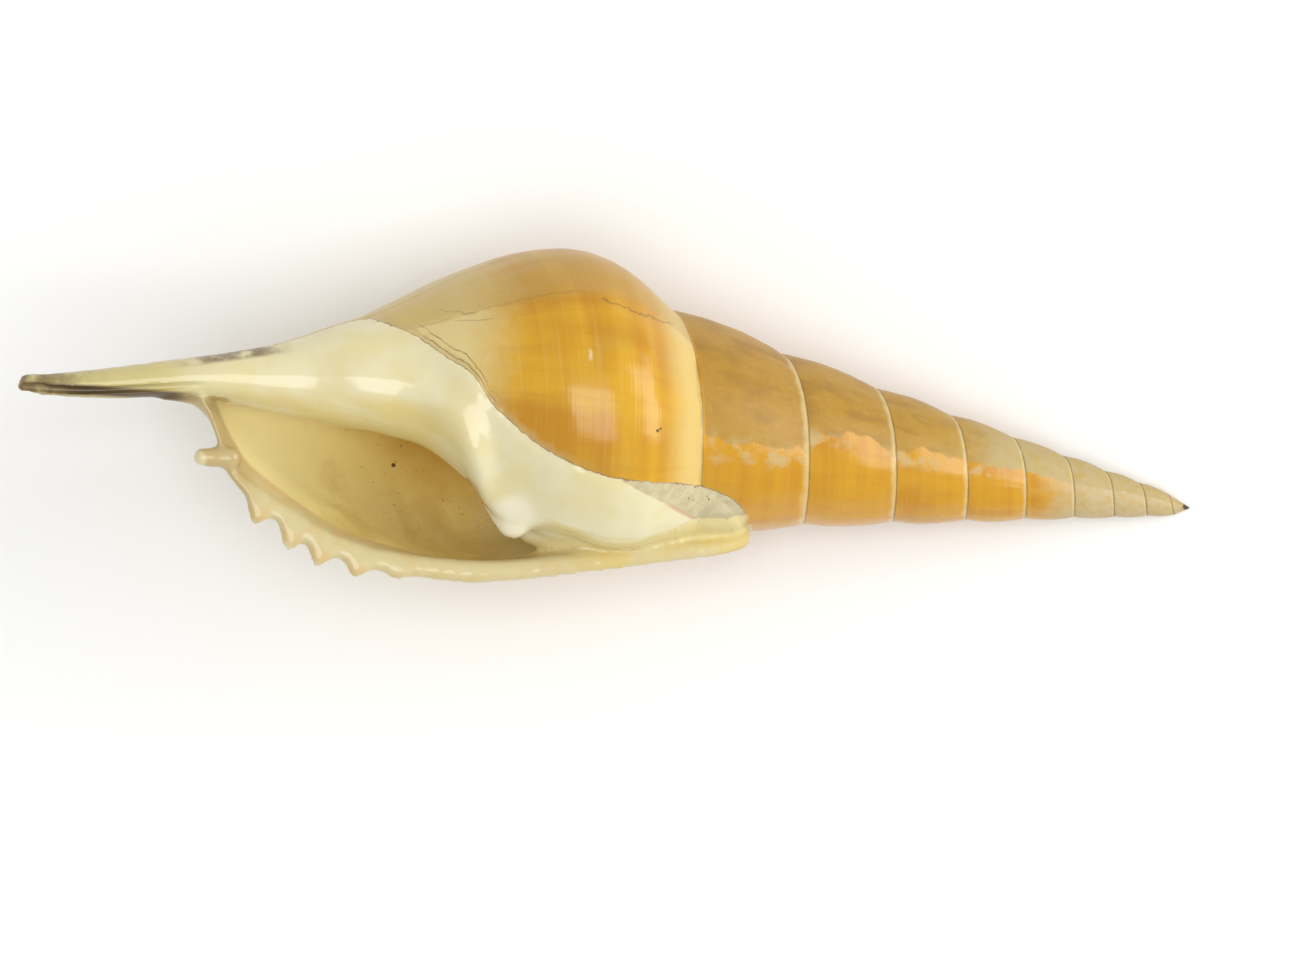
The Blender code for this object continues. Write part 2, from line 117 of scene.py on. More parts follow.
def grown(along, size):
    """Where a place of the last whorl was when the shell had this size."""
    return (along + CENTRE_OF_GROWTH) * size - CENTRE_OF_GROWTH


def suture(turns):
    """Where the rear edge of the whorl meets the whorl before it."""
    return grown(LAST_SUTURE, growth(turns))


def suture_radius(along):
    """The spire's radius at a suture: a slender cone that widens a little to the front."""
    return (SPIRE_TIP_RADIUS + SPIRE_SLOPE * along
            + WIDER_BY * np.maximum(along - WIDER_FROM, 0.0) ** 2)


print("sutures, from the tip:", [round(float(suture(turn)), 1) for turn in range(9)])

# %% [markdown]
# ## Sums on sockets
#
# The spire's shape and the paint are both node trees. Built by hand, a formula of ten signs is
# ten nodes and twenty links. A small class that wraps a socket lets Python's own signs add the
# nodes, so a tree reads like the formula that it stands for. Here a | b is the larger of the two.

# %% A wrapped socket and a tree to write on
class Wire:
    """A socket that can be used in a sum: each sign adds one Math node."""

    def __init__(self, sheet, socket):
        self.sheet = sheet
        self.socket = socket

    def __neg__(self):
        return self * -1.0


def sign(operation, reflected):
    """The method that one of Python's signs calls."""
    def method(wire, other):
        pair = (other, wire) if reflected else (wire, other)
        return wire.sheet.maths(operation, *pair)
    return method


for name, operation in {"add": "ADD", "sub": "SUBTRACT", "mul": "MULTIPLY", "truediv": "DIVIDE",
                        "pow": "POWER", "or": "MAXIMUM"}.items():
    setattr(Wire, f"__{name}__", sign(operation, reflected=False))
    setattr(Wire, f"__r{name}__", sign(operation, reflected=True))


class Sheet:
    """A node tree that is written as sums and calls."""

    def __init__(self, tree):
        self.tree = tree

    def node(self, kind, settings=None, values=None, output=0):
        """Add a node: first its settings, then the values or links of its sockets."""
        node = self.tree.nodes.new(kind)
        for name, value in (settings or {}).items():
            setattr(node, name, value)
        for name, value in (values or {}).items():
            socket = node.inputs[name]
            if isinstance(value, Wire):
                self.tree.links.new(value.socket, socket)
            elif socket.type == "RGBA":
                socket.default_value = (*value, 1.0)
            else:
                socket.default_value = value
        return None if output is None else Wire(self, node.outputs[output])

    def maths(self, operation, *numbers):
        """One Math node."""
        return self.node("ShaderNodeMath", {"operation": operation}, dict(enumerate(numbers)))

    def vector(self, operation, *vectors, output=0):
        """One Vector Math node."""
        return self.node("ShaderNodeVectorMath", {"operation": operation},
                         dict(enumerate(vectors)), output)

    def scaled(self, vector, amount):
        """A vector times a number."""
        return self.node("ShaderNodeVectorMath", {"operation": "SCALE"},
                         {"Vector": vector, "Scale": amount})

    def part(self, vector, axis):
        """The X, Y or Z of a vector."""
        return self.node("ShaderNodeSeparateXYZ", values={"Vector": vector}, output=axis)


print("reflected signs:", [name for name in vars(Wire) if name.startswith("__r")])

# %% [markdown]
# ## The spire
#
# On the real shell eight whorls make the spire, each a little swollen behind its suture. A screw
# modifier could turn it, but a screw keeps one size all the way up. A Geometry Nodes tree can
# follow the growth law itself: a flat grid has one side along the spiral and the other side
# across the whorl, and a formula moves every grid point to its place. The front edge of each turn
# is the rear edge of the turn after it, so a merge by distance closes the strip into a skin.

# %% The tree for the whorls
POINTS_ACROSS = 36
STEPS_PER_TURN = 128.0
CLOSER_AT_SUTURES = 0.7
WHORL_STEPS = round((NUMBER_OF_WHORLS - SPIRE_STARTS_AT) * STEPS_PER_TURN)

shell_finish = bpy.data.materials.new("glazed_shell")
shell_finish.use_nodes = True
whorl_values = {
    "Whorl ratio": WHORL_RATIO, "Centre of growth": CENTRE_OF_GROWTH, "Last suture": LAST_SUTURE,
    "Tip radius": SPIRE_TIP_RADIUS, "Slope": SPIRE_SLOPE, "Wider from": WIDER_FROM,
    "Wider by": WIDER_BY, "Starts at": SPIRE_STARTS_AT, "Steps per turn": STEPS_PER_TURN,
    "Closer at sutures": CLOSER_AT_SUTURES, "Points across": POINTS_ACROSS,
    "Points along": WHORL_STEPS + 1, "Tip": list(TIP_OF_SPIRE), "Forward": list(FORWARD),
    "Away from lip": list(AWAY_FROM_LIP), "Belly": list(BELLY), "Finish": shell_finish}
KINDS = {float: "Float", int: "Int", list: "Vector", bpy.types.Material: "Material"}

whorl_tree = bpy.data.node_groups.new("whorls by growth", "GeometryNodeTree")
for name, value in whorl_values.items():
    socket_type = "NodeSocket" + KINDS[type(value)]
    whorl_tree.interface.new_socket(name, in_out="INPUT", socket_type=socket_type)
whorl_tree.interface.new_socket("Whorls", in_out="OUTPUT", socket_type="NodeSocketGeometry")
sheet = Sheet(whorl_tree)
entry = whorl_tree.nodes.new("NodeGroupInput")
given = {name: Wire(sheet, entry.outputs[name]) for name in whorl_values}


def suture_at(turns):
    """The growth law again, in nodes."""
    reach = given["Last suture"] + given["Centre of growth"]
    return reach * given["Whorl ratio"] ** (turns - 0.5) - given["Centre of growth"]


def cone_at(along):
    """The spire's radius at a suture, in nodes."""
    beyond = along - given["Wider from"] | 0.0
    return given["Tip radius"] + given["Slope"] * along + given["Wider by"] * beyond * beyond


# %% The grid, wound into whorls
grid = sheet.node("GeometryNodeMeshGrid", values={
    "Size X": 1.0, "Size Y": 1.0, "Vertices X": given["Points across"],
    "Vertices Y": given["Points along"]})
spot = sheet.node("GeometryNodeInputPosition")
even = sheet.part(spot, "X") + 0.5
step = sheet.part(spot, "Y") + 0.5
wave = sheet.maths("SINE", even * math.tau) / math.tau
across = even - given["Closer at sutures"] * wave
turns = given["Starts at"] + step * (given["Points along"] - 1.0) / given["Steps per turn"]

rear, front = suture_at(turns), suture_at(turns - 1.0)
along = front + (rear - front) * across
radius = cone_at(rear) + (cone_at(front) - cone_at(rear)) * (1.0 - across * across)
side = -(radius * sheet.maths("COSINE", turns * math.tau))
belly = -(radius * sheet.maths("SINE", turns * math.tau))
point = given["Tip"]
for name, distance in (("Forward", along), ("Away from lip", side), ("Belly", belly)):
    point = sheet.vector("ADD", point, sheet.scaled(given[name], distance))
wound = sheet.node("GeometryNodeSetPosition", values={
    "Geometry": grid, "Position": sheet.scaled(point, MM)})
closed = sheet.node("GeometryNodeMergeByDistance", values={
    "Geometry": wound, "Distance": 0.001 * MM})
real = sheet.node("GeometryNodeRealizeInstances", values={"Geometry": closed})
painted = sheet.node("GeometryNodeSetMaterial", values={
    "Geometry": real, "Material": given["Finish"]})
leave = whorl_tree.nodes.new("NodeGroupOutput")
whorl_tree.links.new(painted.socket, leave.inputs["Whorls"])
print("the whorl tree has", len(whorl_tree.nodes), "nodes")

# %% Wind the spire and close its two ends
def as_plain_mesh(made):
    """Turn an object's modifiers into its mesh."""
    bpy.context.view_layer.update()
    seen = made.evaluated_get(bpy.context.evaluated_depsgraph_get())
    mesh = bpy.data.meshes.new_from_object(seen)
    made.modifiers.clear()
    made.data = mesh


def make_object(name, bm=None):
    """An object from a set of faces, or an empty one for a tree to fill."""
    mesh = bpy.data.meshes.new(name)
    if bm:
        bm.to_mesh(mesh)
        bm.free()
    made = bpy.data.objects.new(name, mesh)
    bpy.context.scene.collection.objects.link(made)
    return made


spire = make_object("spire")
winding = spire.modifiers.new("whorls", "NODES")
winding.node_group = whorl_tree
for item in whorl_tree.interface.items_tree:
    if item.in_out == "INPUT":
        winding[item.identifier] = whorl_values[item.name]
as_plain_mesh(spire)

# each open end becomes a fan to a point on the axis
bm = bmesh.new()
bm.from_mesh(spire.data)
ends = [place(LAST_SUTURE + CENTRE_OF_GROWTH, 0.0, 0.0), place(-SPIRE_TIP_LENGTH, 0.0, 0.0)]
middles = [bm.verts.new(Vector(end) * MM) for end in ends]
for edge in [edge for edge in bm.edges if edge.is_boundary]:
    centre = (edge.verts[0].co + edge.verts[1].co) / 2
    middle = min(middles, key=lambda vertex: (vertex.co - centre).length)
    bm.faces.new((*edge.verts, middle))
bmesh.ops.recalc_face_normals(bm, faces=bm.faces)
bm.to_mesh(spire.data)
bm.free()
print("the spire has", len(spire.data.polygons), "faces")

# %% [markdown]
# ## The last whorl and the mouth
#
# The last whorl swells far beyond the spire, opens into the mouth and flares out to the lip. Its
# curves follow no rule, so each is a smooth line through a few measured places. The forms are
# lofts: rings of points joined one after the other. They overlap freely, because a voxel remesh
# later gives all of them one skin, as the animal did.

# %% Smooth lines through measured places
BODY_PROFILE = [(56.0, 9.5), (64.0, 11.2), (70.0, 14.0), (74.8, 17.1), (79.0, 19.0),
                (82.6, 19.45), (87.2, 18.6), (94.5, 15.3), (101.6, 10.9), (108.5, 6.4),
                (114.0, 4.2), (121.0, 1.5), (132.0, 0.6)]
SUTURE_RUN = 10.0
EARLIER_WHORL_SLIMMER = 0.19
SLIMMER = (0.78, 1.23)
PILLAR_ROUTE = [(60.0, 0.0, 0.0, 3.0, 3.0), (86.0, 0.1, 0.0, 3.3, 3.3),
                (98.0, 0.1, 0.0, 5.6, 5.2), (104.0, -0.1, 0.1, 6.5, 5.8),
                (108.7, -0.6, 0.1, 6.3, 5.6), (114.9, -1.7, 0.0, 4.9, 4.6),
                (121.3, -2.6, -0.3, 3.6, 3.6), (127.6, -3.55, -0.6, 2.6, 2.9),
                (133.8, -4.95, -0.9, 2.2, 2.45), (140.1, -6.4, -1.3, 1.85, 2.05),
                (145.1, -7.3, -1.6, 1.45, 1.65), (149.3, -7.8, -1.9, 1.0, 1.15)]


def smooth_step(x):
    """Rise gently from 0 to 1 as x goes from 0 to 1."""
    x = np.clip(x, 0.0, 1.0)
    return x * x * (3 - 2 * x)


def smooth_line(points):
    """A smooth function through the points, which never overshoots them."""
    xs, ys = np.array(points, float).T
    steps = np.diff(xs)
    slopes = np.diff(ys) / steps
    tangents = np.concatenate([slopes[:1], np.zeros(len(xs) - 2), slopes[-1:]])
    for k in range(1, len(xs) - 1):
        if slopes[k - 1] * slopes[k] > 0:
            near = 2 * steps[k] + steps[k - 1]
            far = steps[k] + 2 * steps[k - 1]
            tangents[k] = (near + far) / (near / slopes[k - 1] + far / slopes[k])

    def value(x):
        x = np.clip(x, xs[0], xs[-1])
        k = np.clip(np.searchsorted(xs, x) - 1, 0, len(xs) - 2)
        t = (x - xs[k]) / steps[k]
        bend = (1 - t) * tangents[k] - t * tangents[k + 1]
        return ys[k] + smooth_step(t) * (ys[k + 1] - ys[k]) + t * (1 - t) * steps[k] * bend

    return value


def rises(value, low, high):
    """Rise gently from 0 at low to 1 at high."""
    return smooth_step((value - low) / (high - low))


body_radius = smooth_line(BODY_PROFILE)
fillet = smooth_line([(112.0, 4.0), (120.0, 2.4), (128.5, 0.3)])
pillar_side, pillar_belly, pillar_half_width, pillar_half_height = [
    smooth_line([(p[0], p[k]) for p in PILLAR_ROUTE]) for k in range(1, 5)]


def around(along, turns, radius):
    """A point from its distance along the pillar, turns back from the lip, and radius."""
    angle = 2 * math.pi * turns
    return place(along, pillar_side(along) - radius * np.cos(angle),
                 pillar_belly(along) - radius * np.sin(angle))


def pillar_radius(along, turns):
    """The oval pillar's radius in this direction."""
    angle = 2 * math.pi * turns
    width = np.cos(angle) / pillar_half_width(along)
    height = np.sin(angle) / pillar_half_height(along)
    return 1 / np.hypot(width, height)


def with_pillar(radius, along, turns):
    """Run a whorl's surface into the pillar with a round fillet."""
    pillar = pillar_radius(along, turns)
    reach = fillet(along)
    near = np.maximum(reach - np.abs(radius - pillar), 0) / reach
    return np.maximum(radius, pillar) + near * near * reach / 4


def whorl_radius(along, turns):
    """The last whorls' outer surface: one profile, shrunk by the growth law."""
    size = growth(turns)
    scale = size * (1 - EARLIER_WHORL_SLIMMER * rises(turns, *SLIMMER))
    in_last_whorl = grown(along, 1 / size)
    near_suture = rises(in_last_whorl, LAST_SUTURE + SUTURE_RUN, LAST_SUTURE)
    step = suture_radius(suture(turns)) - scale * body_radius(LAST_SUTURE)
    return scale * body_radius(in_last_whorl) + near_suture * step


def spire_radius(along, turns):
    """The surface of the whorl behind the suture, a little swollen in its front half."""
    front, rear = suture(turns), suture(turns + 1)
    across = np.clip((front - along) / (front - rear), 0, 1)
    rise = suture_radius(front) - suture_radius(rear)
    return suture_radius(rear) + rise * (1 - across ** 2)


print("the last whorl is", round(2 * body_radius(82.6), 1), "mm thick")

# %% The outer lip
lip_reach = smooth_line([(54.0, 12.5), (58.4, 14.9), (65.9, 17.1), (75.8, 19.9), (85.7, 22.6),
                         (91.5, 23.6), (98.4, 23.9), (102.4, 23.8), (107.7, 23.0), (111.8, 21.5),
                         (116.2, 19.3), (119.0, 17.7), (122.2, 15.0), (123.9, 11.6), (125.3, 8.8),
                         (127.4, 6.1), (128.5, 5.0)])
lip_height = smooth_line([(54.0, 3.0), (65.0, 5.0), (80.0, 4.8), (95.0, 4.0), (108.0, 3.2),
                          (120.0, 1.6), (128.0, 0.4)])
flare_turns = smooth_line([(54.0, 0.06), (62.0, 0.13), (70.0, 0.18), (80.0, 0.2), (90.0, 0.24),
                           (128.0, 0.25)])
LIP_REAR = 55.7
LIP_FRONT = 128.5
LIP_REACHES_OVER = 0.2
TURNED_OUT = 0.32
TURNED_OUT_WITHIN = 0.05
lip_thickness = smooth_line([(54.0, 2.2), (66.0, 2.6), (80.0, 2.9), (112.0, 2.9), (120.0, 2.3),
                             (126.0, 1.2), (128.5, 0.8)])
LIP_THICK_WITHIN = 0.06
LIP_BULGE = 1.1
WALL_THICKNESS = 1.7
THINNEST_RADIUS = 0.4
LIP_TEETH = [(118.4, 2.4), (113.9, 2.5), (110.0, 2.1), (105.0, 1.6), (99.9, 0.7)]
TOOTH_FRONT_RUN = 0.85
TOOTH_REAR_RUN = 1.7
TOOTH_BLUNTNESS = 2.6
TOOTH_WITHIN = 0.03


def lip_turns(along):
    """How far round the outer lip lies: a little past the start of the count."""
    height = lip_height(along) - pillar_belly(along)
    reach = lip_reach(along) + pillar_side(along)
    return -np.arctan2(height, reach) / (2 * math.pi)


def lip_radius(along):
    """The outer lip's distance from the pillar's centre line."""
    return np.hypot(lip_height(along) - pillar_belly(along), lip_reach(along) + pillar_side(along))


def edge_share(past, within):
    """Falls from 1 at the lip's edge to 0 this many turns back."""
    return np.clip(1 - past / within, 0, 1) ** 2


def flared_radius(along, turns):
    """The last whorl's outer surface, which flares to the lip and turns out at its margin."""
    lip_at = lip_turns(along)
    widening = lip_radius(along) - whorl_radius(along, lip_at)
    flare = ((1 - TURNED_OUT) * edge_share(turns - lip_at, flare_turns(along))
             + TURNED_OUT * edge_share(turns - lip_at, TURNED_OUT_WITHIN))
    return whorl_radius(along, turns) + widening * flare


def teeth_reach(along, turns):
    """How far the teeth stand out from the lip's edge."""
    reach = np.zeros(np.shape(along))
    for tooth, height in LIP_TEETH:
        behind = tooth - along
        run = np.where(behind > 0, TOOTH_REAR_RUN, TOOTH_FRONT_RUN)
        reach = reach + height * np.exp(-np.abs(behind / run) ** TOOTH_BLUNTNESS)
    return reach * edge_share(turns - lip_turns(along), TOOTH_WITHIN)


def wall_ring(along, turns, rounding):
    """A section of the mouth's wall: the outer surface, then the inner one back."""
    plain = with_pillar(flared_radius(along, turns), along, turns)
    outer = plain + teeth_reach(along, turns)
    thickness = (WALL_THICKNESS + (lip_thickness(along) - WALL_THICKNESS)
                 * edge_share(turns - lip_turns(along), LIP_THICK_WITHIN))
    inner = np.maximum(plain - thickness, THINNEST_RADIUS)
    narrower = (outer - inner) / 2 * (1 - math.cos(rounding))
    return (list(around(along, turns, outer - narrower))
            + list(around(along, turns, inner + narrower))[::-1])


print("the lip reaches", lip_reach(98.4).round(1), "mm from the axis")

# %% Lofts and tubes
def loft(bm, sections):
    """Join rings of points into one closed body with capped ends."""
    rings = [[bm.verts.new(Vector(point) * MM) for point in ring] for ring in sections]
    for ring, following in zip(rings, rings[1:]):
        for k in range(len(ring)):
            j = (k + 1) % len(ring)
            bm.faces.new((ring[k], ring[j], following[j], following[k]))
    bm.faces.new(rings[0][::-1])
    bm.faces.new(rings[-1])


def add_tube(bm, centres, sides, ups, corners):
    """A closed tube of oval sections through the centres."""
    angles = np.linspace(0, 2 * math.pi, corners, endpoint=False)
    loft(bm, [[centre + side * math.cos(a) + up * math.sin(a) for a in angles]
              for centre, side, up in zip(centres, sides, ups)])


last_whorl = bmesh.new()

# %% [markdown]
# ### The callus
#
# The animal spreads a smooth glaze, the callus, from the pillar over the belly of the shell. Its
# edge is a low step, and it swells towards the mouth. It could be a piece of its own, but it has
# grown onto the whorl, so it is a thickness added to the whorl's radius.

# %% The whorl behind the mouth, with the callus on it
COIL_STARTS_AT = 0.56
COIL_ENDS_AT = 1.62
COIL_SECTIONS = 150
POINTS_ALONG_COIL = 120
CALLUS_EDGE = [(-29.6, 12.0), (-25.0, 10.4), (-20.0, 7.2), (-16.6, 4.9), (-14.3, 1.4),
               (-12.6, -0.3), (-9.0, -3.4), (-4.0, -6.2), (2.2, -8.1), (10.9, -8.8),
               (15.5, -10.5), (17.1, -12.2), (17.7, -14.9)]
CALLUS_STEP = 0.45
CALLUS_STEP_WIDTH = 0.7
CALLUS_SWELL = 2.4
CALLUS_SWELL_WIDTH = 12.0
CALLUS_FROM = (0.65, 0.75)
CALLUS_TO = (0.85, 1.0)
CALLUS_WIDER = 0.08
CALLUS_WIDER_FROM = (78.0, 86.0)
PAD_TO = (0.98, 1.08)
PAD_SINKS = 5.0
BEHIND_SUTURE = 4.0
PAD_BEHIND_SUTURE = 7.0
PAD_EDGE_DEPTH = 0.6
PAD_EDGE_WIDTH = 0.5
PAD_MEETS_CALLUS = (-1.0, 5.0)
PILLAR_MEETS_COIL = 119.0
INTO_PILLAR_RUN = 11.0
INSIDE_PILLAR = 0.97
inner_lip_turns = smooth_line([(84.0, 0.955), (87.6, 0.936), (90.1, 0.921), (92.2, 0.8825),
                               (94.2, 0.852), (97.3, 0.811), (101.0, 0.78)])
inner_lip_height = smooth_line([(82.5, 0.0), (86.0, 1.9), (88.5, 2.3), (92.0, 1.9), (97.0, 1.0),
                                (104.0, 0.0)])
INNER_LIP_RADIUS = 13.0
INNER_LIP_WIDTH = 3.2
callus_edge = smooth_line(CALLUS_EDGE)


def inside_callus(points):
    """How far a point of the belly lies inside the callus's edge, seen in plan."""
    inside = callus_edge(points[:, 0]) - points[:, 1]
    return np.minimum(inside, CALLUS_EDGE[-1][0] - points[:, 0])


def callus_thickness(inside):
    """How thick the callus lies this far inside its edge."""
    return (CALLUS_STEP * smooth_step(inside / CALLUS_STEP_WIDTH)
            + CALLUS_SWELL * smooth_step(inside / CALLUS_SWELL_WIDTH))


def inner_lip_swell(along, turns):
    """How far the ridge of the inner lip swells from the whorl."""
    aside = (turns - inner_lip_turns(along)) * 2 * math.pi * INNER_LIP_RADIUS
    return inner_lip_height(along) * np.exp(-(aside / INNER_LIP_WIDTH) ** 2)


sections = []
for turns in np.linspace(COIL_STARTS_AT, COIL_ENDS_AT, COIL_SECTIONS):
    pad = rises(turns, *CALLUS_FROM) * rises(turns, *PAD_TO[::-1])
    rear = suture(turns) - BEHIND_SUTURE - pad * PAD_BEHIND_SUTURE
    along = np.linspace(rear, PILLAR_MEETS_COIL, POINTS_ALONG_COIL)
    wider = CALLUS_WIDER * rises(along, *CALLUS_WIDER_FROM)
    spread = rises(turns, *CALLUS_FROM) * rises(turns - wider, *CALLUS_TO[::-1])
    radius = whorl_radius(along, turns)
    inside = inside_callus(around(along, turns, radius))
    sunk = rises(-inside, 0.0, PAD_EDGE_WIDTH) + PAD_SINKS * (1 - pad)
    on_spire = spire_radius(along, turns) - PAD_EDGE_DEPTH * sunk
    radius = np.where((along < suture(turns)) & (pad > 0), on_spire, radius)
    share = pad + (spread - pad) * rises(along - suture(turns), *PAD_MEETS_CALLUS)
    radius = radius + share * callus_thickness(inside) + inner_lip_swell(along, turns)
    into_pillar = smooth_step((along - PILLAR_MEETS_COIL) / INTO_PILLAR_RUN + 1)
    radius = with_pillar(radius, along, turns)
    radius += into_pillar * (INSIDE_PILLAR * pillar_radius(along, turns) - radius)
    ring = list(around(along, turns, radius))
    ring += list(around(along[[-1, 0]], turns, THINNEST_RADIUS))
    sections.append(ring)
loft(last_whorl, sections)
print("with the coil there are", len(last_whorl.faces), "faces")

# %% [markdown]
# ### The wall of the mouth
#
# Round the mouth the shell is a wall. It starts deep inside, follows the whorl and flares to the
# lip, where it turns out, grows thick and ends in a round edge with small teeth. The teeth could
# be cones set on the edge, but they are part of the margin, so here they are a bulge in the
# wall's reach: steep in front, and sloping behind.

# %% The wall
MOUTH_DEPTH = 0.62
WALL_CLOSER_AT_LIP = 1.6
WALL_BEHIND_SUTURE = 2.0
WALL_PAST_COIL = 5.0
WALL_SECTIONS = 80
POINTS_ALONG_WALL = 150

sections = []
along = np.linspace(LIP_REAR, LIP_FRONT, POINTS_ALONG_WALL)
for rounding in np.radians([80, 65, 45, 25]):
    bulge = LIP_BULGE * math.sin(rounding) / (2 * math.pi * lip_radius(along))
    sections.append(wall_ring(along, lip_turns(along) - bulge, rounding))
for share in np.linspace(0.0, 1.0, WALL_SECTIONS):
    turns = MOUTH_DEPTH * share ** WALL_CLOSER_AT_LIP
    over = np.clip(1 - turns / LIP_REACHES_OVER, 0, 1)
    rear = suture(turns) - WALL_BEHIND_SUTURE
    rear += over * (LIP_REAR + WALL_BEHIND_SUTURE - suture(0.0))
    front = grown(PILLAR_MEETS_COIL + WALL_PAST_COIL, growth(turns)) * (1 - over)
    front += LIP_FRONT * over
    along = np.linspace(rear, front, POINTS_ALONG_WALL)
    sections.append(wall_ring(along, turns + lip_turns(along) * (1 - share), 0.0))
loft(last_whorl, sections)
print("with the wall there are", len(last_whorl.faces), "faces")

# %% [markdown]
# ### Pillar, finger, knob and folds
#
# The pillar is the shell's own axis, thick in the mouth and drawn out into the front canal: a
# tube. The lip's front end has a blunt finger. The inner lip ends in a round knob that hangs over
# the mouth, and soft folds lead from the knob's side to the lip. These are fat tapered pegs.

# %% Pillar
along = np.linspace(PILLAR_ROUTE[0][0], PILLAR_ROUTE[-1][0], 120)
centres = place(along, pillar_side(along), pillar_belly(along))
add_tube(last_whorl, centres, pillar_half_width(along)[:, None] * AWAY_FROM_LIP,
         pillar_half_height(along)[:, None] * BELLY, 36)

# %% Pegs: each end is a place in plan, a distance towards the belly, and a radius
PEGS = {"finger": ((-46.8, -5.4, 1.4, 1.45), (-50.3, -5.3, 1.4, 1.15)),
        "knob": ((-13.4, -10.3, 4.0, 2.4), (-11.65, -13.2, 5.0, 2.3)),
        "upper fold": ((-8.0, -12.6, 3.4, 2.4), (-1.6, -15.6, 3.0, 2.0)),
        "lower fold": ((-9.4, -14.2, 1.0, 2.0), (-4.6, -16.0, 2.2, 1.8))}


def over_plan(lengthwise, across, belly):
    """The point over this place in plan that lies this far towards the belly."""
    offset = np.array([lengthwise, across]) - TIP_OF_SPIRE[:2]
    level = offset @ FORWARD[:2] / math.cos(AXIS_RISE)
    along = (level + belly * math.sin(AXIS_RISE)) / math.cos(AXIS_RISE)
    return place(along, offset @ AWAY_FROM_LIP[:2], belly)


def add_peg(bm, root, tip, root_radius, tip_radius):
    """A tapered peg with round ends."""
    forward = (tip - root) / np.linalg.norm(tip - root)
    side = np.cross(forward, BELLY)
    side /= np.linalg.norm(side)
    up = np.cross(side, forward)
    bends = np.radians(np.linspace(-80, 80, 21))[:, None]
    radii = np.where(bends < 0, root_radius, tip_radius)
    centres = np.where(bends < 0, root, tip) + forward * radii * np.sin(bends)
    radii = radii * np.cos(bends)
    add_tube(bm, centres, side * radii, up * radii, 20)


for (*root, root_radius), (*tip, tip_radius) in PEGS.values():
    add_peg(last_whorl, over_plan(*root), over_plan(*tip), root_radius, tip_radius)
print("the last whorl's forms have", len(last_whorl.faces), "faces")

# %% [markdown]
# ## One skin
#
# A voxel remesh melts the overlapping forms into one closed surface, and some smoothing takes the
# steps of the voxels away. It would blur the spire's sutures, so the spire joins afterwards by a
# Boolean union. Then the canal's groove and the small flat spot under the back are cut.

# %% The groove of the front canal, and the table that wears the flat spot
GROOVE_START = 125.0
GROOVE_END = 152.0
GROOVE_ASIDE = 0.45
GROOVE_HALF_WIDTH = 0.6
GROOVE_DEPTH = 1.2
GROOVE_RUN_IN = 8.0
TABLE_SIZE = 400.0

bm = bmesh.new()
along = np.linspace(GROOVE_START, GROOVE_END, 60)
side = pillar_side(along) - GROOVE_ASIDE * pillar_half_width(along)
belly = pillar_belly(along) + pillar_half_height(along)
width = np.full((len(along), 1), GROOVE_HALF_WIDTH)
run_in = 0.1 + 0.9 * smooth_step((along - GROOVE_START) / GROOVE_RUN_IN)
depth = GROOVE_DEPTH * run_in[:, None]
add_tube(bm, place(along, side, belly), width * AWAY_FROM_LIP, depth * BELLY, 20)
bmesh.ops.recalc_face_normals(bm, faces=bm.faces)
groove = make_object("canal_groove", bm)

bm = bmesh.new()
bmesh.ops.create_cube(bm, size=TABLE_SIZE * MM)
bmesh.ops.translate(bm, verts=bm.verts, vec=(0, 0, -TABLE_SIZE * MM / 2))
table = make_object("table", bm)
print("the groove is", 2 * GROOVE_HALF_WIDTH, "mm wide")

# %% Remesh, join and cut
SKIN_CELL = 0.36

shell = make_object("shell_piece", last_whorl)
skin = shell.modifiers.new("one skin", "REMESH")
skin.mode = "VOXEL"
skin.voxel_size = SKIN_CELL * MM
smooth = shell.modifiers.new("worn smooth", "SMOOTH")
smooth.factor = 0.5
smooth.iterations = 10
steps = [(spire, "UNION"), (groove, "DIFFERENCE"), (table, "DIFFERENCE")]
for other, operation in steps:
    step = shell.modifiers.new(other.name, "BOOLEAN")
    step.operation = operation
    step.solver = "MANIFOLD"
    step.object = other
as_plain_mesh(shell)
for other, operation in steps:
    bpy.data.objects.remove(other)
print("the skin has", len(shell.data.polygons), "faces")

# %% [markdown]
# ## Fine relief
#
# Growth lines, dents and flakes are too many to model one by one, and a bump in the paint alone
# would leave the outline smooth. So every vertex moves a little along its normal. How much is a
# sum of noises on the unrolled whorl, whose two coordinates both grow with the shell.

# %% Unroll the shell
ROUND_THE_WHORL = 100.0


def unroll(points):
    """Distance along the axis, turns back from the lip, and radius of each point."""
    offset = points - TIP_OF_SPIRE
    along = offset @ FORWARD
    side = offset @ AWAY_FROM_LIP - pillar_side(along)
    belly = offset @ BELLY - pillar_belly(along)
    part = np.arctan2(-belly, -side) / (2 * math.pi) % 1.0
    reach = np.maximum(along + CENTRE_OF_GROWTH, 1.0) / (LAST_SUTURE + CENTRE_OF_GROWTH)
    passed = 0.5 + np.log(reach) / math.log(WHORL_RATIO)
    turns = part + np.maximum(np.ceil(passed - part), 0)
    return along, turns, np.hypot(side, belly)


def noise(points, cell, seed):
    """Smooth random values from -1 to 1 that change over about one cell."""
    table = np.random.default_rng(seed).uniform(-1, 1, 4096)
    grid = points / np.asarray(cell, float)
    base = np.floor(grid).astype(np.int64)
    part = smooth_step(grid - base)
    total = np.zeros(len(points))
    for corner in np.ndindex(2, 2, 2):
        spot = (base + corner) * (73856093, 19349663, 83492791)
        chosen = table[(spot[:, 0] ^ spot[:, 1] ^ spot[:, 2]) & 4095]
        total += chosen * np.prod(np.where(corner, part, 1 - part), axis=1)
    return total


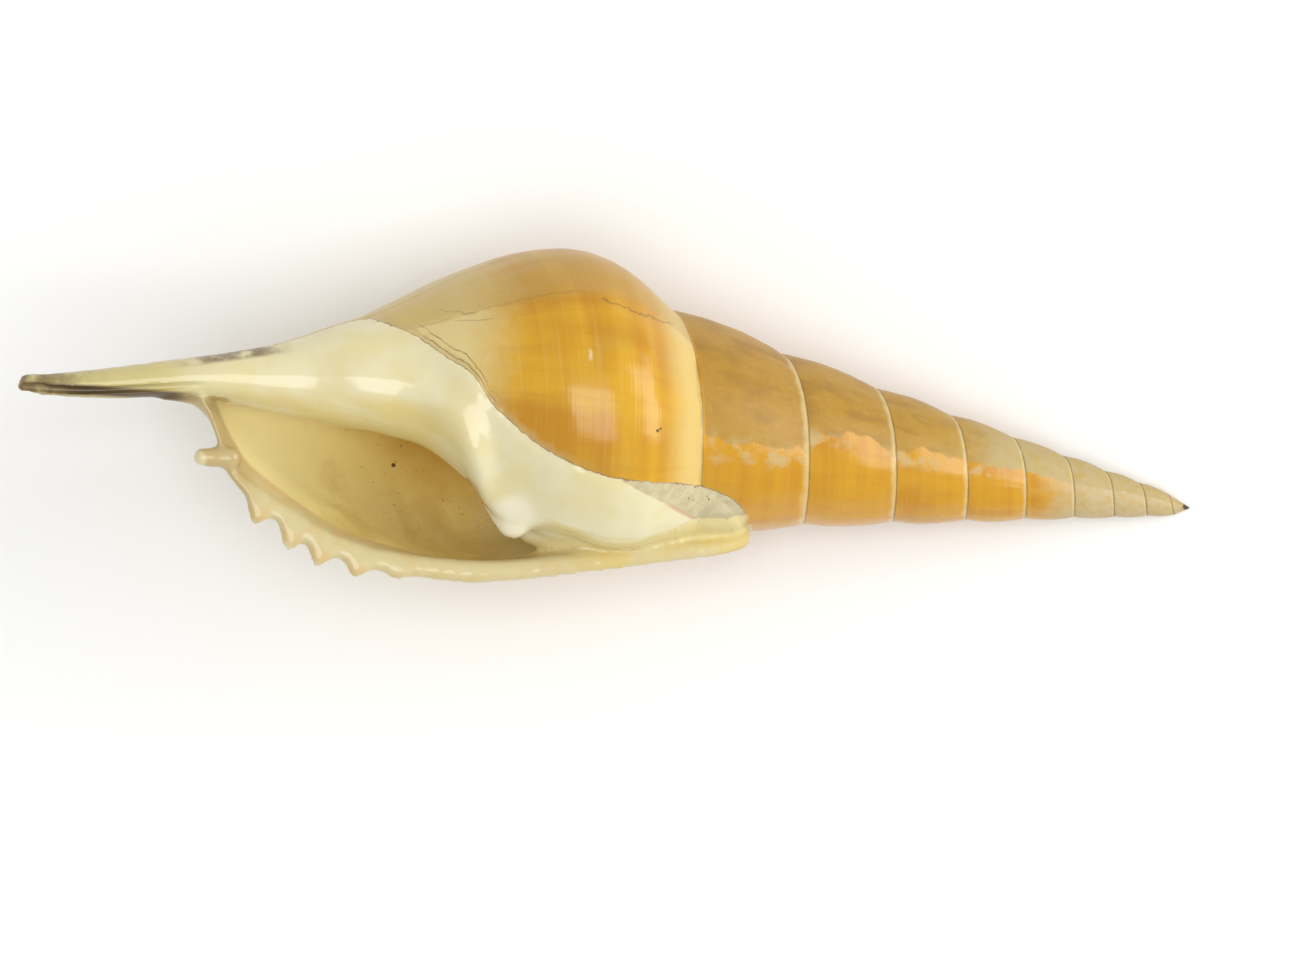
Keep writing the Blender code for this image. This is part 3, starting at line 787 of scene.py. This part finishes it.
def points_of(mesh):
    """The mesh's vertices and their normals, in millimetres."""
    points = np.empty(len(mesh.vertices) * 3)
    mesh.vertices.foreach_get("co", points)
    normals = np.empty(len(mesh.vertices) * 3, np.float32)
    mesh.vertex_normals.foreach_get("vector", normals)
    return points.reshape(-1, 3) / MM, normals.reshape(-1, 3).astype(float)


points, normals = points_of(shell.data)
along, turns, radius = unroll(points)
print("turns run up to", round(float(turns.max()), 2))

# %% Where each finish lies
BACK_OF_LIP = 0.9


def regions(points, normals):
    """How much each vertex belongs to the mouth, pillar, callus and lip, and how deep in the mouth
    it lies.
    """
    along, turns, radius = unroll(points)
    from_lip = np.where(turns % 1.0 > BACK_OF_LIP, turns % 1.0 - 1.0, turns % 1.0)
    wall = with_pillar(flared_radius(along, from_lip), along, from_lip)
    in_mouth = (from_lip < MOUTH_DEPTH) & (along > LIP_REAR) & (along < LIP_FRONT + 2.0)
    hollow = in_mouth * smooth_step((wall - radius - 0.6) / 0.7)
    over_the_lip = (from_lip < 0.0) & (turns < 1.0)
    inside = inside_callus(points)
    on_coil = np.maximum(smooth_step((wall - radius - 4.0) / 1.5), 1 - rises(inside, -0.4, 0.0))
    hollow = hollow * (1 - (from_lip < 0.0) * on_coil)
    pillar = rises(pillar_radius(along, turns) - radius, -2.3, -0.3) * rises(along, 84.0, 92.0)
    belly_up = rises(normals @ BELLY, -0.15, 0.15)
    callus = np.where(over_the_lip, 5.0, inside)
    callus = np.where((from_lip > 0.0) & (from_lip < 0.5) & (hollow < 0.5), -6.0, callus)
    callus = callus * belly_up - 6.0 * (1 - belly_up)
    edge = np.linspace(LIP_REAR, LIP_FRONT, 400)
    rim = around(edge, lip_turns(edge), lip_radius(edge) - lip_thickness(edge) / 2)
    lip = np.full(len(points), 99.0)
    near = np.flatnonzero((from_lip < 0.3) & (along > LIP_REAR - 0.5))
    for chunk in np.array_split(near, 60):
        apart = points[chunk][:, None, :] - rim[None, :, :]
        lip[chunk] = np.sqrt((apart ** 2).sum(axis=2).min(axis=1))
    return {"mouth": hollow, "pillar": pillar, "callus": callus, "lip": np.minimum(lip, 20.0),
            "depth": np.clip(from_lip, 0.0, MOUTH_DEPTH) * in_mouth}


masks = regions(points, normals)
print("greatest values:", {name: round(float(mask.max()), 1) for name, mask in masks.items()})

# %% Move the vertices
FOOT_HEIGHT = 0.25
TRIANGLES = 190000

size = growth(turns)
across = (along + CENTRE_OF_GROWTH) / size
unrolled = np.stack([turns * ROUND_THE_WHORL, across, np.zeros(len(turns))], axis=1)
callus = masks["callus"]
outer = (1 - masks["mouth"]) * rises(callus, 0.5, -0.5)
glazed = rises(callus, 0.5, 2.5)
height = outer * size * (0.05 * noise(unrolled, (1.3, 18.0, 1.0), 11)
                         + 0.06 * noise(unrolled, (4.5, 9.0, 1.0), 12)
                         + 0.015 * noise(unrolled, (9.0, 0.9, 1.0), 13))
height += glazed * 0.10 * noise(points, 6.0, 14) + 0.05 * noise(points, 2.4, 15)
flakes = np.exp(-(callus / 0.7) ** 2) * (masks["mouth"] < 0.5)
height += flakes * (0.10 * noise(points, 1.1, 16) + 0.05 * noise(points, 0.6, 17))
height += rises(along, 140.0, 148.0) * 0.12 * noise(points, 0.9, 18)
height *= rises(points[:, 2], FOOT_HEIGHT, FOOT_HEIGHT + 1.0)
shell.data.vertices.foreach_set("co", ((points + normals * height[:, None]) * MM).ravel())
shell.data.update()

triangles = sum(len(face.vertices) - 2 for face in shell.data.polygons)
fewer = shell.modifiers.new("fewer faces", "DECIMATE")
fewer.ratio = min(1.0, TRIANGLES / triangles)
as_plain_mesh(shell)
shell.data.polygons.foreach_set("use_smooth", np.ones(len(shell.data.polygons), bool))
print(len(shell.data.polygons), "faces; relief to", round(float(np.abs(height).max()), 2), "mm")

# %% Put the piece where the frame is
points, normals = points_of(shell.data)
middle = (points.min(axis=0) + points.max(axis=0)) / 2
frame_middle = np.array((cad_low + cad_high) / 2) / MM
SHIFT = np.array([frame_middle[0] - middle[0], frame_middle[1] - middle[1], 0.0])
for name, mask in regions(points, normals).items():
    shell.data.attributes.new(name, "FLOAT", "POINT").data.foreach_set("value", mask)
shell.data.transform(Matrix.Translation(Vector(SHIFT) * MM))
print("moved by", SHIFT.round(3), "mm")

# %% [markdown]
# ## The paint
#
# One material covers the shell, because its finishes melt into each other. Regions come from the
# vertex values made above. Patterns that follow the growth are worked out in the material, with
# the growth law that made the spire, so streaks run round the whorls and along the sutures.

# %% Colours
ORANGE = (0.65, 0.35, 0.012)
DEEP_ORANGE = (0.52, 0.23, 0.006)
TAN = (0.50, 0.30, 0.04)
GREY_TAN = (0.46, 0.29, 0.05)
MATT_TAN = (0.38, 0.21, 0.02)
MATT_BROWN = (0.27, 0.13, 0.012)
CREAM = (0.70, 0.58, 0.27)
PALE_EDGE = (0.73, 0.55, 0.18)
OLD_CREAM = (0.50, 0.43, 0.25)
CHALK = (0.52, 0.42, 0.21)
IVORY = (0.74, 0.67, 0.42)
WARM_IVORY = (0.70, 0.60, 0.29)
CANAL_IVORY = (0.54, 0.45, 0.17)
YELLOW = (0.66, 0.50, 0.13)
WHITE = (0.88, 0.84, 0.68)
PAD_PINK = (0.58, 0.36, 0.19)
ROUGH_EDGE = (0.50, 0.37, 0.16)
MOUTH_CREAM = (0.74, 0.62, 0.28)
MOUTH_YELLOW = (0.78, 0.64, 0.24)
MOUTH_BROWN_AND_SHADE = (0.42, 0.21, 0.008)
LIP_CREAM = (0.61, 0.52, 0.27)
LIP_PEACH = (0.62, 0.42, 0.16)
SUTURE_BROWN = (0.22, 0.13, 0.055)
DARK_BROWN = (0.08, 0.045, 0.02)
CANAL_BROWN = (0.17, 0.10, 0.045)

shell_finish.node_tree.nodes.clear()
paint = Sheet(shell_finish.node_tree)


def blend(share, under, over):
    """One colour over another, by a share from 0 to 1."""
    return paint.node("ShaderNodeMix", {"data_type": "RGBA"}, {0: share, 6: under, 7: over}, 2)


def rise(value, low, high):
    """From 0 to 1 as a value goes from low to high, with soft ends."""
    return paint.node("ShaderNodeMapRange", {"interpolation_type": "SMOOTHSTEP"},
                      {"Value": value, "From Min": low, "From Max": high})


def line(value, outer, inner):
    """1 where a value is nearly 0, falling to 0 at the outer distance."""
    return rise(paint.maths("ABSOLUTE", value), outer, inner)


def speckle(where, cell, detail=3.0):
    """Noise from 0 to 1 that changes over about one cell of millimetres."""
    return paint.node("ShaderNodeTexNoise", values={
        "Vector": where, "Scale": 1.0 / cell, "Detail": detail}, output="Fac")


# %% The place of a point on the shell, worked out in the material
position = paint.node("ShaderNodeTexCoord", output="Object")
tip = tuple((TIP_OF_SPIRE + SHIFT) * MM)
spot = paint.scaled(paint.vector("SUBTRACT", position, tip), 1.0 / MM)
p_along, p_side, p_belly = [paint.vector("DOT_PRODUCT", spot, tuple(axis), output="Value")
                            for axis in (FORWARD, AWAY_FROM_LIP, BELLY)]
p_part = paint.maths("FRACT", paint.maths("ARCTAN2", -p_belly, -p_side) / math.tau)
p_reach = (p_along + CENTRE_OF_GROWTH) / (LAST_SUTURE + CENTRE_OF_GROWTH)
p_passed = paint.maths("LOGARITHM", p_reach, WHORL_RATIO) + 0.5
p_phase = p_passed - p_part
p_back = paint.maths("CEIL", p_phase) | 0.0
p_turns = p_part + p_back
p_size = WHORL_RATIO ** (p_turns - 0.5)
p_across = (p_along + CENTRE_OF_GROWTH) / p_size
per_turn = (p_along + CENTRE_OF_GROWTH) * -math.log(WHORL_RATIO)
to_rear_suture = (p_back - p_phase) * per_turn
to_front_suture = (p_phase - p_back + 1.0) * per_turn
unrolled_spot = paint.node("ShaderNodeCombineXYZ", values={
    "X": p_turns * ROUND_THE_WHORL, "Y": p_across})

# %% Marks that lie over one place in plan
p_x = paint.part(spot, "X") + TIP_OF_SPIRE[0]
p_y = paint.part(spot, "Y") + TIP_OF_SPIRE[1]
belly_up = rise(p_belly, 0.0, 2.0)
unsteady = speckle(spot, 1.5) - 0.5


def dot(x, y, radius):
    """A round mark."""
    apart = (p_x - x) ** 2.0 + (p_y - y) ** 2.0
    return rise(apart ** 0.5, radius, radius * 0.5)


def stroke(start, end, width):
    """A thin, unsteady line from one place to another."""
    length = math.dist(start, end)
    run_x, run_y = (end[0] - start[0]) / length, (end[1] - start[1]) / length
    off_x, off_y = p_x - start[0], p_y - start[1]
    passed = off_x * run_x + off_y * run_y
    drawn = line(off_y * run_x - off_x * run_y + unsteady * 1.2, width, width * 0.4)
    return drawn * rise(passed, -0.3, 0.5) * rise(passed, length + 0.3, length - 0.5)


# %% [markdown]
# ### The whorls
#
# The whorls are orange and tan in soft bands, with fine streaks along the growth lines. Each is
# paler at its rear edge, with a thin brown line in the suture. The last whorl fades to cream in
# front, and is greyer beyond the line of a pause in growth.

# %% Bands and streaks
def streaks(around_mm, along_mm, detail=2.0):
    """Noise on the unrolled whorl, drawn out round it or along it."""
    stretched = paint.vector("DIVIDE", unrolled_spot, (around_mm, along_mm, 1.0))
    return speckle(stretched, 1.0, detail)


growth_bands = streaks(5.0, 40.0)
spiral_bands = streaks(60.0, 4.0)
fine_streaks = streaks(0.9, 14.0, 4.0)
fine_spirals = streaks(16.0, 0.6, 4.0)
mottled = speckle(spot, 1.6, 6.0)
clouds = speckle(spot, 6.0)
whorl = blend(rise(growth_bands * 0.6 + spiral_bands * 0.4, 0.36, 0.6), DEEP_ORANGE, ORANGE)
whorl = blend(rise(clouds, 0.5, 0.75) * 0.5, whorl, TAN)
whorl = blend(rise(fine_streaks, 0.45, 0.75) * 0.35, whorl, DEEP_ORANGE)
whorl = blend(rise(fine_spirals, 0.5, 0.8) * 0.2, whorl, PALE_EDGE)

# %% The last whorl
GREY_BEFORE = 0.608

on_spire = rise(p_phase, 0.0, 0.03)
on_last = 1.0 - on_spire
whorl = blend(on_spire * rise(growth_bands, 0.3, 0.6) * 0.5, whorl, DEEP_ORANGE)
to_front = rise(p_along + unsteady * 3.0, 89.0, 98.0)
whorl = blend(on_last * to_front * 0.85, whorl, CREAM)
at_rear = rise(to_rear_suture + (growth_bands - 0.5) * 4.0, 6.5, 1.5)
whorl = blend(on_last * at_rear * 0.75, whorl, PALE_EDGE)
beyond_pause = rise(p_turns + unsteady * 0.012, GREY_BEFORE + 0.012, GREY_BEFORE - 0.012)
beyond_pause = beyond_pause * rise(p_turns, 0.3, 0.45)
whorl = blend(on_last * beyond_pause * 0.5, whorl, GREY_TAN)
pause_line = line(p_turns - GREY_BEFORE + unsteady * 0.012, 0.003, 0.001)
whorl = blend(on_last * pause_line * rise(clouds, 0.45, 0.55) * 0.2, whorl, SUTURE_BROWN)

# %% [markdown]
# ### Wear on the spire
#
# The side of the spire away from the lip is matt and darker. The other side has kept its gloss.
# Where the two meet, the surface flaked off in chalky patches. The oldest whorls are worn to
# cream all round.

# %% Matt side, chalky patches and old whorls
MATT_EDGE = 0.72
FIRST_WHORL_EDGE = 0.04

matt_edge = paint.maths("LESS_THAN", p_back, 1.5) * FIRST_WHORL_EDGE + MATT_EDGE
from_edge = matt_edge - p_part + (clouds - 0.5) * 0.10 + (mottled - 0.5) * 0.03
matt = rise(from_edge, -0.004, 0.004) * rise(p_part, 0.42, 0.5) * on_spire
whorl = blend(matt * 0.75, whorl, MATT_TAN)
whorl = blend(matt * rise(speckle(spot, 0.7, 5.0), 0.45, 0.75) * 0.4, whorl, GREY_TAN)
whorl = blend(matt * rise(streaks(4.0, 9.0, 4.0), 0.45, 0.65) * 0.5, whorl, MATT_BROWN)
old_whorls = rise(p_along - matt * 11.0 + unsteady * 6.0, 22.0, 13.0)
whorl = blend(old_whorls * 0.8, whorl, OLD_CREAM)
whorl = blend(rise(p_along, 45.0, 30.0) * matt * 0.3, whorl, GREY_TAN)
whorl = blend(old_whorls * rise(streaks(5.0, 5.0, 5.0), 0.45, 0.65) * 0.5, whorl, TAN)
worn = line(from_edge + 0.01, 0.035, 0.006) * rise(mottled, 0.42, 0.62)
worn = worn * rise(clouds, 0.4, 0.5) * on_spire | old_whorls * rise(mottled, 0.45, 0.6) * 0.5
whorl = blend(worn * 0.6, whorl, CHALK)

# %% Sutures
pale_rear = rise(to_rear_suture / p_size + (mottled - 0.5) * 1.6, 1.5, 0.3)
whorl = blend(on_spire * pale_rear * 0.55, whorl, CREAM)
suture_gap = paint.maths("MINIMUM", to_rear_suture,
                         to_front_suture + rise(p_phase, 0.02, 0.0) * 200.0)
suture_line = rise(suture_gap + unsteady * 0.2, 0.16, 0.03)
whorl = blend(suture_line * 0.7, whorl, SUTURE_BROWN)

# %% [markdown]
# ### Callus, pad and mouth
#
# The glaze is ivory and turns yellow on the underside of the pillar. Its edge is a thin ragged
# line, with thin flakes outside it at the front. Behind the suture lies a chalky grey pad with
# a pink line at its foot. The mouth is cream in front, and deep behind the inner lip it is
# painted brown as shade.

# %% The glaze
callus, mouth, pillar, lip, depth = [
    paint.node("ShaderNodeAttribute", {"attribute_name": name}, output="Fac")
    for name in ("callus", "mouth", "pillar", "lip", "depth")]
glaze = blend(rise(clouds, 0.42, 0.65) * 0.6, IVORY, WARM_IVORY)
low_side = rise(p_side + p_along * 0.115, 10.9, 8.4) * rise(p_along, 92.0, 100.0)
glaze = blend(low_side * rise(streaks(8.0, 20.0), 0.3, 0.6) * 0.6, glaze, YELLOW)
glaze = blend(rise(p_along, 122.0, 136.0) * 0.8, glaze, CANAL_IVORY)
glaze = blend(dot(-11.8, -12.9, 3.6) * 0.5, glaze, WHITE)
edge_flakes = (speckle(spot, 0.8, 4.0) - 0.5) * 0.7
ragged = callus + edge_flakes
on_callus = rise(ragged, -0.06, 0.10)
thick_and_thin = rise(speckle(spot, 2.5), 0.35, 0.6)
callus_line = line(ragged - 0.02, 0.12, 0.03) * (thick_and_thin * 0.5 + 0.5)

# %% Flakes outside the glaze's edge, and the pad behind the suture
PAD_FROM = 1.4
PAD_SLOPE = 0.45
PAD_WIDEST = 4.9

in_front = rise(p_x, -25.0, -22.0) * rise(p_x, -12.0, -15.0)
flake_lines = paint.maths("SINE", (callus + unsteady * 1.0) * 7.0)
flakes_here = rise(callus, -2.6, -1.8) * rise(callus, 0.1, -0.1) * in_front * belly_up
flaky = flakes_here * rise(flake_lines, 0.75, 0.95) * thick_and_thin
pad_width = paint.maths("MINIMUM", (p_x - PAD_FROM) * PAD_SLOPE | 0.0, PAD_WIDEST)
inside_pad = pad_width - callus - (mottled - 0.5) * 0.5
on_pad = rise(inside_pad, -0.12, 0.12) * on_callus * rise(p_x, PAD_FROM, PAD_FROM + 0.8)
pad_foot = line(inside_pad, 0.45, 0.15) * rise(p_x, 6.0, 9.0) * on_callus
pad_specks = rise(speckle(spot, 0.45, 2.0), 0.66, 0.72) * on_pad * rise(p_x, 8.0, 10.0)
pad_colour = blend(rise(mottled, 0.4, 0.6) * 0.3, OLD_CREAM, IVORY)
rough_edge = rise(callus + (mottled - 0.5) * 1.6, -1.3, -0.4) * rise(p_x, 0.0, -8.0) * belly_up

# %% The mouth, its painted shade and its specks
lining = blend(rise(p_along + unsteady * 6.0, 118.0, 104.0), MOUTH_CREAM, MOUTH_YELLOW)
# Painted shade: deep in the mouth, behind the inner lip, the lining turns brown.
shade_behind_ridge = rise(depth, 0.05, 0.22) * rise(p_along + (clouds - 0.5) * 14.0, 109.0, 96.0)
lining = blend(shade_behind_ridge * 0.9, lining, MOUTH_BROWN_AND_SHADE)
lining = blend(rise(clouds, 0.45, 0.7) * rise(p_along, 116.0, 104.0) * 0.3, lining, MOUTH_BROWN_AND_SHADE)
lining = blend(rise(p_along, 89.0, 84.0) * 0.9, lining, WARM_IVORY)
specks = rise(speckle(spot, 0.5, 1.0), 0.70, 0.76) * rise(p_along, 112.0, 100.0) * 0.5
specks = specks | dot(-26.7, -6.3, 0.35) | dot(-28.2, -1.9, 0.28)
lining = blend(specks, lining, DARK_BROWN)

# %% Lip and canal
margin = blend(rise(speckle(spot, 2.0), 0.45, 0.65) * 0.35, LIP_CREAM, LIP_PEACH)
margin = blend(rise(lip, 1.5, 2.1) * 0.5, margin, LIP_PEACH)
margin = blend(rise(p_x, -6.0, 0.0) * rise(clouds, 0.45, 0.6) * 0.5, margin, YELLOW)
margin = blend(rise(p_along, 117.0, 121.0) * 0.8, margin, ROUGH_EDGE)
margin_width = rise(p_along, 66.0, 90.0) * 1.6 + 1.7
on_margin = rise(lip + edge_flakes * 0.3, margin_width, margin_width - 0.7)
canal_tip = rise(p_along + unsteady * 6.0, 138.0, 149.0)
in_canal = line(p_side + 5.9 + (p_along - 125.0) * 0.091, 0.9, 0.3)
in_canal = in_canal * rise(p_along, 126.0, 131.0) * rise(p_belly, -1.6, -0.6)
top_edge = rise(p_side + (p_along - 118.0) * 0.3, 0.7, 1.3) * rise(p_belly, -4.0, -1.5)
top_edge = top_edge * rise(p_along, 116.0, 121.0) * rise(p_along, 132.0, 126.0)
canal_stain = (canal_tip * rise(mottled, 0.25, 0.55) * 0.9
               | top_edge * rise(mottled, 0.25, 0.6) * 0.85)

# %% Everything over the whorls, in order
colour = blend(rough_edge * 0.5, whorl, ROUGH_EDGE)
colour = blend(flaky * 0.7, colour, SUTURE_BROWN)
colour = blend(on_callus, colour, glaze)
colour = blend(on_pad, colour, pad_colour)
colour = blend(pad_foot * 0.7, colour, PAD_PINK)
colour = blend(pad_specks * 0.8, colour, DARK_BROWN)
colour = blend(callus_line * 0.85, colour, SUTURE_BROWN)
colour = blend(mouth * (1.0 - pillar), colour, lining)
colour = blend(mouth * pillar, colour, glaze)
colour = blend(on_margin, colour, margin)
colour = blend(canal_stain, colour, CANAL_BROWN)
colour = blend(in_canal * 0.95, colour, DARK_BROWN)

# %% Small marks: a healed crack, scratches, painted shade in two pits and in the hole at the tip, and a painted highlight
marks_and_pit_shade = stroke((-0.9, 14.3), (8.1, 11.2), 0.13) * 0.4
for start, end in [((-21.0, 12.9), (-16.5, 12.4)), ((-19.0, 11.7), (-14.0, 11.9))]:
    marks_and_pit_shade = marks_and_pit_shade | stroke(start, end, 0.09) * 0.3
# The two pits have no depth in the mesh: their dark dots are painted shade.
for pit in [(6.25, -2.05, 0.24), (6.6, -1.8, 0.16)]:
    marks_and_pit_shade = marks_and_pit_shade | dot(*pit)
marks_and_pit_shade = marks_and_pit_shade * belly_up * (1.0 - on_callus) * (1.0 - mouth)
# A short white stroke on the belly is a painted highlight.
colour = blend(stroke((-2.2, 8.1), (-2.0, 6.7), 0.28) * belly_up * 0.4, colour, WHITE)
colour = blend(marks_and_pit_shade, colour, DARK_BROWN)
# The hole at the tip is only a dark dot: painted shade.
colour = blend(dot(72.2, -11.5, 0.5), colour, DARK_BROWN)

# %% Gloss, fine bump, and a painted glow in the mouth for light that comes through the thin wall
PAINTED_GLOW = 0.2
CORD_SPACING = 0.55

# A painted glow: deep in the mouth the lining gives off its own colour as light, as if lit through
# the thin wall.
painted_glow = blend(mouth * (1.0 - pillar) * rise(depth, 0.03, 0.16) * PAINTED_GLOW, (0.0, 0.0, 0.0), lining)
glassy = on_callus * (1.0 - on_pad) | on_margin
rough = (0.20 - glassy * 0.08 + worn * 0.4 + canal_tip * 0.3 + old_whorls * 0.2 + matt * 0.25
         + on_pad * 0.5 + beyond_pause * on_last * 0.12)
cords = paint.maths("SINE", p_across * math.tau / CORD_SPACING + unsteady * 2.0)
fine = fine_streaks * 0.5 + fine_spirals * 0.6 + cords * clouds * 0.16
fine = fine * (1.0 - on_callus) * (1.0 - mouth)
fine = fine + worn * speckle(spot, 0.35, 4.0) * 1.5 - suture_line * 2.0
fine = fine + on_pad * speckle(spot, 0.4, 4.0) * 2.0 + flaky * 2.0 - marks_and_pit_shade * 3.0
bump = paint.node("ShaderNodeBump", values={
    "Strength": 1.0, "Distance": 0.03 * MM, "Height": fine})
shader = paint.node("ShaderNodeBsdfPrincipled", values={
    "Base Color": colour, "Roughness": rough, "Normal": bump, "IOR": 1.5,
    "Emission Color": painted_glow, "Emission Strength": 1.0})
paint.node("ShaderNodeOutputMaterial", values={"Surface": shader}, output=None)
shell.data.materials.clear()
shell.data.materials.append(shell_finish)
print("the paint has", len(paint.tree.nodes), "nodes")

# %% [markdown]
# ## Floor, light and camera
#
# The shell lies on white, seen from straight above, with one large soft light over it and another
# low on the side of the spire.

# %% Floor
FLOOR_SIZE = 6.0

bm = bmesh.new()
bmesh.ops.create_grid(bm, x_segments=1, y_segments=1, size=FLOOR_SIZE / 2)
floor = make_object("floor", bm)
floor_finish = bpy.data.materials.new("pale_floor")
floor_finish.use_nodes = True
floor_shader = floor_finish.node_tree.nodes["Principled BSDF"]
floor_shader.inputs["Base Color"].default_value = (0.92, 0.92, 0.91, 1.0)
floor_shader.inputs["Roughness"].default_value = 0.9
floor_shader.inputs["Specular IOR Level"].default_value = 0.1
floor.data.materials.append(floor_finish)

# %% Lights
TARGET = Vector((0.0, 0.0, 0.018))
LIGHTS = [("overhead", 10.0, 84.0, 1.1, (0.60, 0.72), 4.5),
          ("spire side", 98.0, 28.0, 0.9, (0.75, 0.50), 4.0)]
AMBIENT = 0.65

for name, azimuth, elevation, distance, (wide, tall), power in LIGHTS:
    light = bpy.data.lights.new(name, "AREA")
    light.shape = "RECTANGLE"
    light.size, light.size_y = wide, tall
    light.energy = power
    lamp = bpy.data.objects.new(name, light)
    a, e = math.radians(azimuth), math.radians(elevation)
    back = Vector((math.sin(a) * math.cos(e), -math.cos(a) * math.cos(e), math.sin(e)))
    lamp.location = TARGET + back * distance
    lamp.rotation_euler = back.to_track_quat("Z", "Y").to_euler()
    lamp.visible_camera = False
    bpy.context.scene.collection.objects.link(lamp)

world = bpy.data.worlds.new("soft room")
world.use_nodes = True
background = world.node_tree.nodes["Background"].inputs
background["Color"].default_value = (1.0, 1.0, 1.0, 1.0)
background["Strength"].default_value = AMBIENT
bpy.context.scene.world = world
bpy.context.scene.view_settings.view_transform = "Standard"

# %% Camera
PHOTO_SIZE = (1300, 953)
ORIGIN_IN_PHOTO = (607.5, 414.5)
PIXELS_PER_MM = 8.03
CAMERA_HEIGHT = 5000.0
SENSOR = 36.0
MIDDLE_HEIGHT = 15.0

camera = bpy.data.objects.new("camera", bpy.data.cameras.new("camera"))
bpy.context.scene.collection.objects.link(camera)
width = PHOTO_SIZE[0] / PIXELS_PER_MM
camera.data.sensor_width = SENSOR
camera.data.lens = SENSOR * (CAMERA_HEIGHT - MIDDLE_HEIGHT) / width
right = (PHOTO_SIZE[0] / 2 - ORIGIN_IN_PHOTO[0]) / PIXELS_PER_MM
up = (ORIGIN_IN_PHOTO[1] - PHOTO_SIZE[1] / 2) / PIXELS_PER_MM
camera.location = Vector((right + SHIFT[0], up + SHIFT[1], CAMERA_HEIGHT)) * MM
camera.data.clip_start = 0.1
camera.data.clip_end = 40.0
bpy.context.scene.camera = camera
print("the camera sees", round(width, 1), "mm with a", round(camera.data.lens), "mm lens")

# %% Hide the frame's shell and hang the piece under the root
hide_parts("shell")
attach(shell, "root")
